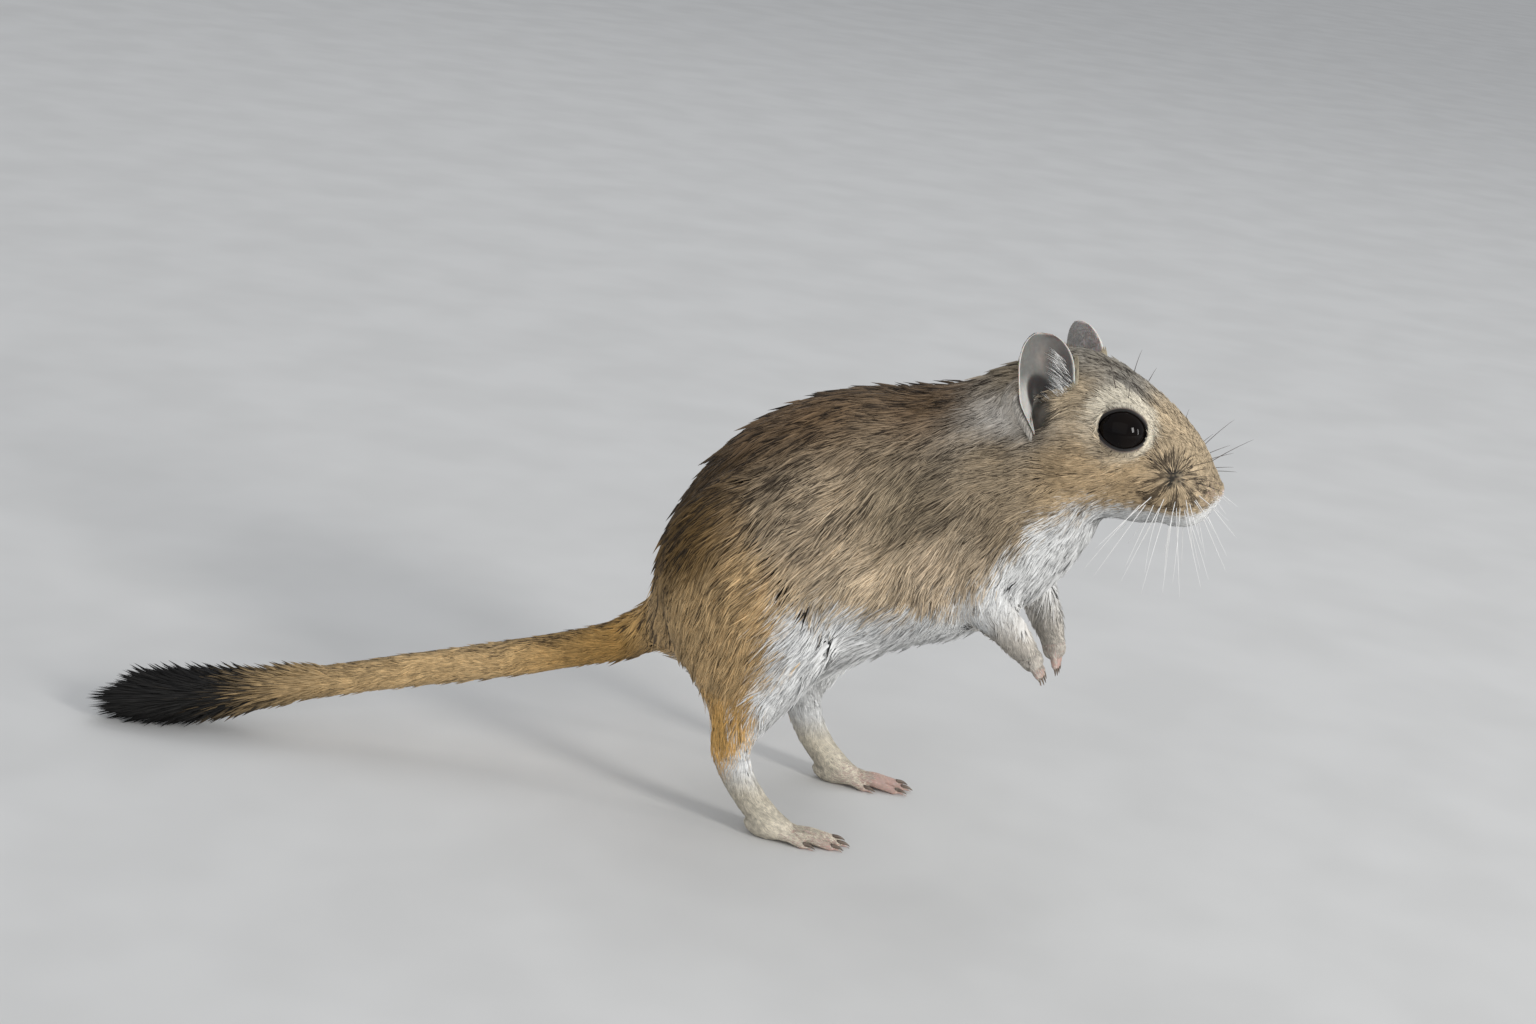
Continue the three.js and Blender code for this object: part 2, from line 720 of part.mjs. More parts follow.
function addPart(name, body, colour, roughness = 0.9) {
  const mesh = largest(body).getMesh();
  const geometry = new THREE.BufferGeometry();
  geometry.setAttribute('position', new THREE.BufferAttribute(mesh.vertProperties, 3));
  geometry.setIndex(new THREE.BufferAttribute(mesh.triVerts, 1));
  const material = new THREE.MeshStandardMaterial({ color: colour, roughness, metalness: 0 });
  const part = new THREE.Mesh(geometry, material);
  part.name = name;
  group.add(part);
}

const SIDES = [['left', LEFT], ['right', RIGHT]];
const headPlane = planeThrough(HEAD_PLANE);
const neckPlane = planeThrough(NECK_PLANE);
const chestPlane = planeThrough(CHEST_PLANE);
const rumpPlane = planeThrough(RUMP_PLANE);
const nosePlane = planeThrough(NOSE_PLANE);

let body = joined([
  trunkSolid(),
  headSolid(),
  nosePad(),
  chin(),
  lids(LEFT),
  lids(RIGHT),
  tailSolid(),
]);
for (const side of [LEFT, RIGHT]) {
  const hollows = [legSolid(side, GAP), armSolid(side, GAP), eye(side, GAP), ear(side, GAP), nostril(side)];
  body = body.subtract(joined(hollows));
}
body = body.subtract(lipGroove());

const face = aheadOf(body, headPlane);
const head = behind(face, nosePlane);
addPart('nose', aheadOf(face, nosePlane), NOSE_COLOUR, 0.6);
addPart('head', head.subtract(jawRegion(GAP)), SKIN_COLOUR);
addPart('lower_jaw', head.intersect(jawRegion(0)), BELLY_COLOUR);
addPart('neck', aheadOf(behind(body, headPlane), neckPlane), SKIN_COLOUR);
addPart('chest', aheadOf(behind(body, neckPlane), chestPlane), SKIN_COLOUR);
addPart('belly', aheadOf(behind(body, chestPlane), rumpPlane), SKIN_COLOUR);

const tailRoot = tailCut(TAIL_ROOT_CUT);
const tailCuts = TAIL_CUTS.map(tailCut);
const rear = behind(body, rumpPlane);
addPart('rump', aheadOf(rear, tailRoot), SKIN_COLOUR);
addPart('tail_base', aheadOf(behind(rear, tailRoot), tailCuts[0]), TAIL_COLOUR);
addPart('tail_middle', aheadOf(behind(rear, tailCuts[0]), tailCuts[1]), TAIL_COLOUR);
addPart('tail_end', aheadOf(behind(rear, tailCuts[1]), tailCuts[2]), TAIL_COLOUR);
addPart('tail_tuft', above(behind(tuftSolid(), tailCuts[2]), 0), TUFT_COLOUR);

for (const [word, side] of SIDES) {
  addPart(`eye_${word}`, eye(side), EYE_COLOUR, 0.1);
  addPart(`ear_${word}`, ear(side), EAR_COLOUR, 0.7);
  const leg = above(footSolid(side), 0);
  addPart(`thigh_${word}`, above(leg, KNEE_LEVEL + GAP / 2), SKIN_COLOUR);
  addPart(`shank_${word}`, below(above(leg, HOCK_LEVEL + GAP / 2), KNEE_LEVEL - GAP / 2), SKIN_COLOUR);
  addPart(`hind_foot_${word}`, below(leg, HOCK_LEVEL - GAP / 2), FOOT_COLOUR);
  const limb = pawSolid(side);
  const wrist = wristPlane(side);
  addPart(`arm_${word}`, behind(limb, wrist), SKIN_COLOUR);
  addPart(`fore_paw_${word}`, aheadOf(limb, wrist), FOOT_COLOUR);
}

// The origin stands on the floor under the middle of the whole
const box = new THREE.Box3().setFromObject(group);
const middle = box.getCenter(vector(0, 0, 0));
group.position.set(-middle.x, -middle.y, -box.min.z);

export default group;
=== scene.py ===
import math

import bpy
import numpy as np
from mathutils import Matrix, Vector
from mathutils.bvhtree import BVHTree


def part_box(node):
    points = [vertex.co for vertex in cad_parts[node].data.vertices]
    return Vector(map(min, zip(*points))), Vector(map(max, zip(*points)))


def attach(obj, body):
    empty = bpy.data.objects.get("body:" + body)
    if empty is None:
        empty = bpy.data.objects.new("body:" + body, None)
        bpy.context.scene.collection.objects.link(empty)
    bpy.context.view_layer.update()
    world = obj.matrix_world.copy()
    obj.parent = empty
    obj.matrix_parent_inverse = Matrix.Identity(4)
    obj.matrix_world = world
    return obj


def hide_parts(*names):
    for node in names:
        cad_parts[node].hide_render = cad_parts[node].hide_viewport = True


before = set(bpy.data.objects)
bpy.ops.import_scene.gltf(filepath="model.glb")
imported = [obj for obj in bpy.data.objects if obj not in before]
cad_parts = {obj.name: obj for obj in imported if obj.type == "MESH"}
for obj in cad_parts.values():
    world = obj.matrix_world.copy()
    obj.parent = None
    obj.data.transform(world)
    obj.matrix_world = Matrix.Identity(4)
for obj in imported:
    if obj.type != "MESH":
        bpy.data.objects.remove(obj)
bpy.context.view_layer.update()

# A Mongolian gerbil standing on its hind feet, with one skin, a coat of fine tufts, ears,
# eyes with lids, nose, claws and whiskers.
# Lengths are millimetres in the animal's own stance: +X the way it faces, +Y its left side,
# +Z up and the floor at 0. to_frame() turns them into metres of the shared frame.
MM = 0.001

# How far forward the nose and how far out the left foot reach in the stance, which places it
NOSE_REACH = 81.94
LEFT_FOOT_REACH = 24.89
ORIGIN = np.array([
    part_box("nose")[1].x / MM - NOSE_REACH,
    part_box("hind_foot_left")[1].y / MM - LEFT_FOOT_REACH,
    0.0,
])
SIDES = {"left": 1, "right": -1}
UP = np.array([0.0, 0.0, 1.0])

# The head's turn and lean about a point in the neck
HEAD_PIVOT = np.array([50.0, 0.0, 82.0])
HEAD_TURN = Matrix.Rotation(math.radians(-2), 3, "Z")
HEAD_LEAN = Matrix.Rotation(math.radians(-4), 3, "X")
HEAD_POSE = np.array(HEAD_TURN @ HEAD_LEAN)

# Skin: the voxels it is made with, coarse and for the feet and paws, and how far the parted
# flesh is grown to close its cuts. The coarse feet and paws shrink instead, away from the
# limbs, so that only the fine ones show.
VOXEL = 0.5
FINE_VOXEL = 0.22
CLOSING = 0.6
SHRINKING = 0.8

# How strongly each round smooths the facets away, and how many rounds smooth the facets, the
# length and depth of the hair, the drop under the coat, the dropped skin, and the soft normals
LEVEL_STEPS = (0.55, -0.57)
LEVEL_ROUNDS = 22
HAIR_ROUNDS = 12
DROP_ROUNDS = 6
SINK_ROUNDS = 4
SOFT_ROUNDS = 8
FLOOR_GAP = 0.02

# The nodes that aren't flesh, and the limb that each fine part grows from
NOT_FLESH = ("eye_", "ear_", "tail_tuft")
FINE_PARTS = {"hind_foot_": "shank_", "fore_paw_": "arm_"}

# Low mounds at the ears' roots, each with its radii, the core of the tuft, each row with its
# radius, and the tail's middle line
MOUNDS = [
    ((50.6, 10.9, 87.0), (2.4, 1.6, 3.2)),
    ((44.8, 9.6, 88.2), (2.6, 2.4, 4.6)),
]
TAIL_CORE = [
    (-90, -25.7, 8.3, 2.9),
    (-96, -28.1, 6.9, 2.6),
    (-103, -30.9, 5.6, 2.0),
    (-108, -32.9, 4.9, 1.1),
]
TAIL_LINE = [
    (-12, 0, 36),
    (-19, 0, 30.4),
    (-25, -1, 26.6),
    (-32, -3, 23.8),
    (-47, -8, 19.2),
    (-64, -15, 15),
    (-81, -22, 10.6),
    (-96, -28, 6.8),
    (-108, -32.9, 4.6),
]

# The lie of the coat. Each row: a place on the left side, the way the hair points there
# (forward, outward, up), the hair's length, and the depth of the coat
LIE = [
    ((81, 1, 80), (-0.75, 0.15, 0.6), 0.8, 0.15),
    ((80, 3, 75), (-0.7, 0.5, -0.2), 0.9, 0.15),
    ((77, 3, 85), (-0.8, 0.1, 0.55), 1.1, 0.2),
    ((72, 5, 89), (-0.85, 0.15, 0.42), 1.6, 0.3),
    ((64, 4, 95), (-0.93, 0.1, 0.2), 2.2, 0.45),
    ((55, 4, 98.5), (-0.98, 0.1, -0.05), 2.8, 0.6),
    ((47, 6, 96), (-0.9, 0.1, -0.3), 3.6, 0.8),
    ((70, 8, 84), (-0.9, 0.2, 0.15), 1.5, 0.25),
    ((64, 11, 79), (-0.97, 0.15, -0.1), 2.2, 0.4),
    ((57, 13, 79), (-0.95, 0.15, -0.25), 3.0, 0.6),
    ((60, 11, 73), (-0.85, 0.1, -0.45), 2.8, 0.5),
    ((75, 7, 74), (-0.9, 0.3, -0.25), 1.4, 0.2),
    ((69, 4, 70.5), (-0.95, 0.1, -0.15), 1.6, 0.3),
    ((60, 4, 67), (-0.55, 0.05, -0.8), 3.6, 0.8),
    ((42, 4, 94), (-0.92, 0.05, -0.35), 4.2, 1.0),
    ((45, 13, 82), (-0.85, 0.1, -0.5), 4.0, 0.9),
    ((50, 11, 66), (-0.5, 0.05, -0.85), 4.4, 1.0),
    ((54, 4, 58), (-0.5, 0.0, -0.85), 5.2, 1.2),
    ((44.5, 10.5, 88), (-0.5, 0.1, -0.7), 1.6, 0.3),
    ((39, 11, 84), (-0.75, 0.1, -0.6), 3.4, 0.8),
    ((30, 4, 88), (-0.93, 0.12, -0.32), 5.0, 1.2),
    ((32, 17, 70), (-0.58, 0.0, -0.8), 5.2, 1.2),
    ((44, 15, 62), (-0.45, 0.0, -0.9), 4.6, 1.1),
    ((50, 4, 52), (-0.65, 0.0, -0.75), 5.2, 1.3),
    ((44, 4, 45), (-0.95, 0.0, -0.3), 5.0, 1.3),
    ((10, 4, 83), (-0.93, 0.15, -0.35), 5.6, 1.3),
    ((12, 21, 64), (-0.68, 0.0, -0.73), 5.6, 1.3),
    ((26, 18, 52), (-0.6, 0.0, -0.8), 5.4, 1.3),
    ((22, 8, 37), (-0.95, 0.0, -0.3), 5.0, 1.3),
    ((-6, 4, 75), (-0.75, 0.12, -0.66), 5.8, 1.3),
    ((-18, 4, 56), (-0.35, 0.0, -0.94), 5.6, 1.3),
    ((-19, 4, 42), (-0.4, 0.0, -0.9), 4.6, 1.1),
    ((-6, 6, 27), (-0.8, 0.0, -0.6), 4.0, 1.0),
    ((-9, 19, 58), (-0.42, 0.0, -0.9), 5.6, 1.3),
    ((5, 23, 52), (-0.48, 0.0, -0.87), 5.4, 1.3),
    ((-10, 20, 44), (-0.3, 0.0, -0.95), 5.2, 1.2),
    ((8, 23, 40), (-0.4, 0.0, -0.92), 5.0, 1.2),
    ((12, 18, 33), (-0.5, 0.0, -0.87), 4.4, 1.0),
    ((3, 19, 25), (-0.25, 0.0, -0.97), 3.8, 0.8),
    ((2, 16, 17), (-0.1, 0.0, -1.0), 2.6, 0.45),
    ((5, 16, 11), (0.35, 0.0, -0.94), 1.8, 0.25),
    ((11, 16, 5), (0.75, 0.0, -0.65), 1.3, 0.15),
    ((18, 18, 3), (1.0, 0.1, -0.1), 0.9, 0.08),
    ((25, 19, 1), (1.0, 0.1, -0.1), 0.6, 0.04),
    ((42, 14, 58), (0.0, -0.1, -1.0), 4.0, 1.0),
    ((47, 10, 51), (0.45, -0.3, -0.85), 2.8, 0.6),
    ((52, 7, 45), (0.6, -0.15, -0.8), 1.6, 0.25),
    ((54, 6, 42), (0.6, 0.0, -0.8), 0.9, 0.1),
    ((56, 6, 38.5), (0.5, 0.0, -0.85), 0.5, 0.03),
]
TAIL_HAIR = (2.9, 0.55)
LIE_REACH = 3.0

# How many times over the hair covers the skin, and the seed of all draws
COVER = 12.0
SEED = 7

# Colours of the hair, linear. The rump's colour is its dark fur darkened further with painted
# shade.
BACK = (0.22, 0.14, 0.075)
FLANK = (0.58, 0.455, 0.31)
SHOULDER = (0.33, 0.26, 0.172)
NECK = (0.36, 0.28, 0.185)
GOLD = (0.62, 0.43, 0.22)
LEG = (0.84, 0.50, 0.16)
RUMP_FUR_AND_SHADE = (0.09, 0.054, 0.022)
CROWN = (0.34, 0.315, 0.27)
BRIDGE = (0.55, 0.43, 0.28)
CHEEK = (0.48, 0.35, 0.205)
PALE = (0.88, 0.88, 0.865)
FOOT = (0.74, 0.67, 0.54)
PAW = (0.60, 0.55, 0.48)
CREAM = (0.90, 0.82, 0.66)
FOLD = (0.80, 0.74, 0.66)
TAIL_BUFF = (0.62, 0.43, 0.215)
TAIL_ROOT = (0.62, 0.37, 0.12)
DARK = (0.032, 0.021, 0.013)
UNDER = (0.16, 0.145, 0.135)
BLACK = (0.012, 0.011, 0.010)
PINK = (0.60, 0.42, 0.36)

# Each row: a place on the left side, its colour, and the share of dark tips there
TINTS = [
    ((78, 3, 83), BRIDGE, 0.12),
    ((72, 5, 89), BRIDGE, 0.22),
    ((64, 5, 95), CROWN, 0.36),
    ((54, 5, 98), CROWN, 0.4),
    ((54, 8, 94), BRIDGE, 0.16),
    ((66, 10, 79), CHEEK, 0.12),
    ((57, 13, 78), CHEEK, 0.16),
    ((44.5, 10.5, 88), FOLD, 0.02),
    ((44, 6, 95), SHOULDER, 0.34),
    ((45, 13, 80), NECK, 0.24),
    ((48, 12, 72), NECK, 0.18),
    ((30, 5, 88), BACK, 0.46),
    ((32, 17, 70), SHOULDER, 0.27),
    ((40, 16, 60), (0.64, 0.51, 0.36), 0.1),
    ((10, 5, 83), BACK, 0.5),
    ((14, 20, 66), FLANK, 0.3),
    ((24, 18, 54), (0.70, 0.56, 0.39), 0.08),
    ((-3, 5, 78), BACK, 0.55),
    # The rump's rear: dark fur, with painted shade where it faces away from the light
    ((-9, 7, 71), RUMP_FUR_AND_SHADE, 0.6),
    ((-14, 8, 62), RUMP_FUR_AND_SHADE, 0.5),
    ((-18, 5, 50), (0.25, 0.145, 0.045), 0.4),
    ((-18, 4, 42), GOLD, 0.3),
    ((-8, 18, 57), (0.20, 0.12, 0.042), 0.4),
    ((2, 22, 48), GOLD, 0.2),
    ((-2, 20, 40), GOLD, 0.14),
    ((0, 20, 33), GOLD, 0.1),
    ((0, 17, 24), LEG, 0.06),
    ((1, 15, 15), LEG, 0.05),
]

# The edge of the pale underside: its height along the body, and its place along the leg
PALE_EDGE_X = (12, 19, 28, 36, 42, 46, 49, 52, 56, 60, 64, 70, 76, 78.5, 80, 81)
PALE_EDGE_Z = (
    48.5, 49.2, 50.1, 51.5, 54, 59, 65, 68.3, 71.4, 74.0, 75.2, 74.3, 73.9, 74.8, 76.2, 77.6,
)
LEG_EDGE_Z = (8, 14, 21, 28, 35, 43, 49)
LEG_EDGE_X = (0, 2.4, 6.0, 8.0, 10.2, 12.0, 12.3)

# The left eye: where it looks, the way between its corners, and how wide it opens along that
# way and across it, as degrees from the way it looks
EYE_RADIUS = (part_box("eye_left")[1].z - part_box("eye_left")[0].z) / 2 / MM
EYE_AIM = np.array([0.28, 0.9, 0.24])
EYE_ALONG = np.array([0.958, -0.28, -0.056])
EYE_OPENING = (60, 41)

# Places on the left side of the head: the whisker pad's marks, painted shade behind the nostril,
# round the ear's hole, in the ear's crease and along the mouth, and the room that the ear's root
# takes
WHISKER_PAD = np.array([74.2, 8.2, 80.8])
PAD_REACH = 6.8
NOSTRIL_SHADE = (79.7, 4.1, 79.0)
EAR_HOLE = np.array([50.6, 11.8, 88.4])
EAR_HOLE_RADII = np.array([2.6, 2.6, 4.4])
EAR_ROOT = (50.4, 11.6, 89.8)
EAR_ROOT_RADII = (2.6, 3.0, 5.0)
EAR_CREASE_SHADE = [(37, 9.9, 84.9), (41.5, 11.5, 83.7), (45, 12.1, 83.6)]
MOUTH_SHADE_LINE = [(60.8, 8.8, 72.4), (64, 7.4, 71.6), (68, 6.2, 71.6), (73, 5.6, 72.4)]


def to_frame(points):
    """Millimetres in the stance as metres of the shared frame."""
    return (np.asarray(points, float) + ORIGIN) * MM


def from_frame(points):
    """Metres of the shared frame as millimetres in the stance."""
    return np.asarray(points, float) / MM - ORIGIN


def unit(vectors):
    vectors = np.asarray(vectors, float)
    length = np.linalg.norm(vectors, axis=-1, keepdims=True)
    return vectors / np.maximum(length, 1e-9)


def distance(points, place):
    return np.linalg.norm(points - place, axis=1)


def full_turn(count):
    """Even steps of one turn, in radians."""
    return np.arange(count) / count * math.tau


def laid_flat(ways, normals):
    """The ways turned down onto the surface with these normals."""
    return unit(ways - normals * (ways * normals).sum(1, keepdims=True))


def blend(colour, tone, share):
    """The colours, each moved towards the tone by its share."""
    share = share[:, None]
    return colour * (1 - share) + np.array(tone) * share


def smoothstep(low, high, value):
    share = np.clip((np.asarray(value, float) - low) / (high - low), 0, 1)
    return share * share * (3 - 2 * share)


def sided(place, side):
    """A place or way given for the left side, on the side wanted."""
    return np.array([place[0], place[1] * side, place[2]], float)


def posed(points, is_direction=False):
    """Turns what belongs to the head with it."""
    pivot = np.zeros(3) if is_direction else HEAD_PIVOT
    return (np.asarray(points, float) - pivot) @ HEAD_POSE.T + pivot


def posed_back(points):
    """Where places on the head were before it was turned."""
    return (np.asarray(points, float) - HEAD_PIVOT) @ HEAD_POSE + HEAD_PIVOT


def mirror_left(points):
    """The same places on the left side."""
    return points * np.where((points < 0) & (np.arange(3) == 1), -1.0, 1.0)


def tail_middle(x):
    """The tail's middle line at the given places along the body."""
    line = np.array(TAIL_LINE, float)
    return np.stack([np.interp(-x, -line[:, 0], line[:, k]) for k in range(3)], 1)


def eye_centre(word):
    low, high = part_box(f"eye_{word}")
    return from_frame(np.array((low + high) / 2))


def noise(points, scale, seed):
    """Smooth repeatable noise between 0 and 1, of features about scale long."""
    size = 32
    lattice = np.random.RandomState(seed).rand(size, size, size)
    place = np.asarray(points, float) / scale + 100
    low = np.floor(place).astype(int)
    part = place - low
    part = part * part * (3 - 2 * part)
    total = 0
    for corner in np.ndindex(2, 2, 2):
        weight = np.prod(np.where(np.array(corner), part, 1 - part), axis=1)
        index = (low + corner) % size
        total = total + weight * lattice[index[:, 0], index[:, 1], index[:, 2]]
    return total


def weighted(points, places, values):
    """Values given at a few places, blended over the points by distance."""
    squares = ((points[:, None, :] - places[None, :, :]) ** 2).sum(2)
    weights = 1 / (squares + LIE_REACH ** 2) ** 2
    return (weights @ values) / weights.sum(1, keepdims=True)


def mesh_arrays(mesh):
    """Points in the stance, triangles and edges of a mesh."""
    co = np.empty(len(mesh.vertices) * 3)
    mesh.vertices.foreach_get("co", co)
    mesh.calc_loop_triangles()
    faces = np.empty(len(mesh.loop_triangles) * 3, int)
    mesh.loop_triangles.foreach_get("vertices", faces)
    edges = np.empty(len(mesh.edges) * 2, int)
    mesh.edges.foreach_get("vertices", edges)
    return from_frame(co.reshape(-1, 3)), faces.reshape(-1, 3), edges.reshape(-1, 2)


def welded(points, faces):
    """Points that lie together made one, and the faces that this leaves whole."""
    rounded = np.round(points, 3)
    _, first, back = np.unique(rounded, axis=0, return_index=True, return_inverse=True)
    faces = back.reshape(-1)[faces]
    whole = (faces != np.roll(faces, -1, axis=1)).all(1)
    return points[first], faces[whole]


def point_normals(points, faces):
    """Each point's normal, from the triangles round it."""
    corners = points[faces]
    across = np.cross(corners[:, 1] - corners[:, 0], corners[:, 2] - corners[:, 0])
    normals = np.zeros_like(points)
    for axis in range(3):
        for corner in range(3):
            normals[:, axis] += np.bincount(faces[:, corner], across[:, axis], len(points))
    return unit(normals)


def raw_mesh(name, points, faces):
    """A mesh in the shared frame, from points in the stance and faces of as many corners."""
    faces = np.asarray(faces)
    mesh = bpy.data.meshes.new(name)
    mesh.vertices.add(len(points))
    mesh.vertices.foreach_set("co", to_frame(points).astype(np.float32).ravel())
    mesh.loops.add(faces.size)
    mesh.loops.foreach_set("vertex_index", faces.astype(np.int32).ravel())
    mesh.polygons.add(len(faces))
    starts = np.arange(0, faces.size, faces.shape[1], dtype=np.int32)
    mesh.polygons.foreach_set("loop_start", starts)
    mesh.update(calc_edges=True)
    return mesh


def colour_points(mesh, colours):
    """Gives the mesh its colours, one for each point."""
    layer = mesh.color_attributes.new("coat", "FLOAT_COLOR", "POINT")
    rgba = np.ones((len(mesh.vertices), 4), np.float32)
    rgba[:, :3] = colours
    layer.data.foreach_set("color", rgba.ravel())


def placed(name, data):
    """A new object in the scene."""
    thing = bpy.data.objects.new(name, data)
    bpy.context.scene.collection.objects.link(thing)
    return thing


def place_piece(mesh, material, smooth=True):
    """The mesh as a piece of the animal."""
    if smooth:
        mesh.shade_smooth()
    mesh.materials.append(material)
    piece = placed(mesh.name, mesh)
    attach(piece, "root")
    return piece


def grid_faces(rows, columns, looped=False):
    """Four-sided faces between rings of points, looped from the last ring to the first."""
    faces = []
    for r in range(rows if looped else rows - 1):
        m = (r + 1) % rows
        for c in range(columns):
            n = (c + 1) % columns
            faces.append((r * columns + c, r * columns + n, m * columns + n, m * columns + c))
    return np.array(faces)


def halved(quads):
    """Four-sided faces as two lots of triangles."""
    return [quads[:, [0, 1, 2]], quads[:, [0, 2, 3]]]


def closed_tube(rings):
    """Points and triangles of a tube through rings of points, closed by a point at each end."""
    rings = np.asarray(rings, float)
    rows, columns = rings.shape[:2]
    points = np.concatenate([rings.reshape(-1, 3), [rings[0].mean(0)], [rings[-1].mean(0)]])
    start, end = len(points) - 2, len(points) - 1
    faces = halved(grid_faces(rows, columns))
    c = np.arange(columns)
    n = (c + 1) % columns
    faces.append(np.stack([np.full(columns, start), n, c], 1))
    last = (rows - 1) * columns
    faces.append(np.stack([np.full(columns, end), last + c, last + n], 1))
    return points, turned_out(points, np.concatenate(faces))


def turned_out(points, faces):
    """The faces of a closed body, turned over if they look inwards."""
    corners = points[faces]
    volume = (corners[:, 0] * np.cross(corners[:, 1], corners[:, 2])).sum()
    return faces[:, ::-1] if volume < 0 else faces


def bent_tube(line, radii, sides, flatness=1.0):
    """A tapered tube along a line of points."""
    line = np.asarray(line, float)
    ways = unit(np.gradient(line, axis=0))
    across = unit(np.cross(ways, UP) + (0, 1e-6, 0))
    upward = np.cross(across, ways)
    turns = full_turn(sides)
    rings = []
    for centre, a, u, radius in zip(line, across, upward, radii):
        ring = np.outer(np.cos(turns), a) + flatness * np.outer(np.sin(turns), u)
        rings.append(centre + radius * ring)
    return closed_tube(rings)


def merged(bodies):
    """Several bodies of points and triangles as one."""
    points, faces, count = [], [], 0
    for body_points, body_faces in bodies:
        points.append(body_points)
        faces.append(body_faces + count)
        count += len(body_points)
    return np.concatenate(points), np.concatenate(faces)


def ball(centre, radii, rows=12, columns=20):
    """Points and triangles of a ball, its poles up and down."""
    turns = full_turn(columns)
    circle = np.stack([np.cos(turns), np.sin(turns), np.ones(columns)], 1)
    polar = np.linspace(0, math.pi, rows + 2)[1:-1]
    points, faces = closed_tube([circle * (math.sin(p), math.sin(p), math.cos(p)) for p in polar])
    points[-2] = (0, 0, 1)
    points[-1] = (0, 0, -1)
    return points * radii + centre, faces


# Skin
def flesh_names():
    return [name for name in sorted(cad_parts) if not name.startswith(NOT_FLESH)]


def is_fine(name):
    """Whether a node is a foot or a paw, which the finer voxels make."""
    return name.startswith(tuple(FINE_PARTS))


def node_body(name):
    """A node's points and triangles in the stance."""
    points, faces, _ = mesh_arrays(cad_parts[name].data)
    return welded(points, faces)


def grown_body(name):
    """A node made even and pushed out all round, so that it closes the cuts beside it."""
    points, faces = node_body(name)
    points, faces, _ = remeshed(points, faces, VOXEL)
    growth = np.full(len(points), CLOSING)
    if is_fine(name):
        part = next(part for part in FINE_PARTS if name.startswith(part))
        limb, limb_faces = node_body(name.replace(part, FINE_PARTS[part]))
        tree = BVHTree.FromPolygons(limb.tolist(), limb_faces.tolist())
        gap = np.array([tree.find_nearest(point)[3] for point in points.tolist()])
        near = smoothstep(3.5, 1.4, gap)
        growth = CLOSING * near - SHRINKING * (1 - near)
    return points + point_normals(points, faces) * growth[:, None], faces


def main_flesh():
    """The parted flesh grown together, with the ears' roots and a core for the tuft."""
    bodies = [grown_body(name) for name in flesh_names()]
    for side in SIDES.values():
        for place, radii in MOUNDS:
            points, faces = ball(sided(place, side), np.array(radii) + CLOSING)
            bodies.append((posed(points), faces))
    core = np.array(TAIL_CORE, float)
    bodies.append(bent_tube(core[:, :3], core[:, 3] + CLOSING, 12))
    return merged(bodies)


def outer_shell(points, faces, edges):
    """The largest connected part, without the pockets left inside."""
    label = np.arange(len(points))
    changed = True
    while changed:
        low = np.minimum(label[edges[:, 0]], label[edges[:, 1]])
        lower = label.copy()
        np.minimum.at(lower, edges[:, 0], low)
        np.minimum.at(lower, edges[:, 1], low)
        lower = lower[lower]
        changed = (lower != label).any()
        label = lower
    keep = label == np.bincount(label).argmax()
    number = np.cumsum(keep) - 1
    return points[keep], number[faces[keep[faces[:, 0]]]], number[edges[keep[edges[:, 0]]]]


def remeshed(points, faces, voxel):
    """The body's outer shell made even, as points, triangles and edges."""
    mesh = raw_mesh("flesh", points, faces)
    holder = placed("flesh", mesh)
    modifier = holder.modifiers.new("even", "REMESH")
    modifier.mode = "VOXEL"
    modifier.voxel_size = voxel * MM
    shaped = holder.evaluated_get(bpy.context.evaluated_depsgraph_get())
    result = bpy.data.meshes.new_from_object(shaped)
    arrays = outer_shell(*mesh_arrays(result))
    bpy.data.objects.remove(holder)
    bpy.data.meshes.remove(result)
    bpy.data.meshes.remove(mesh)
    return arrays


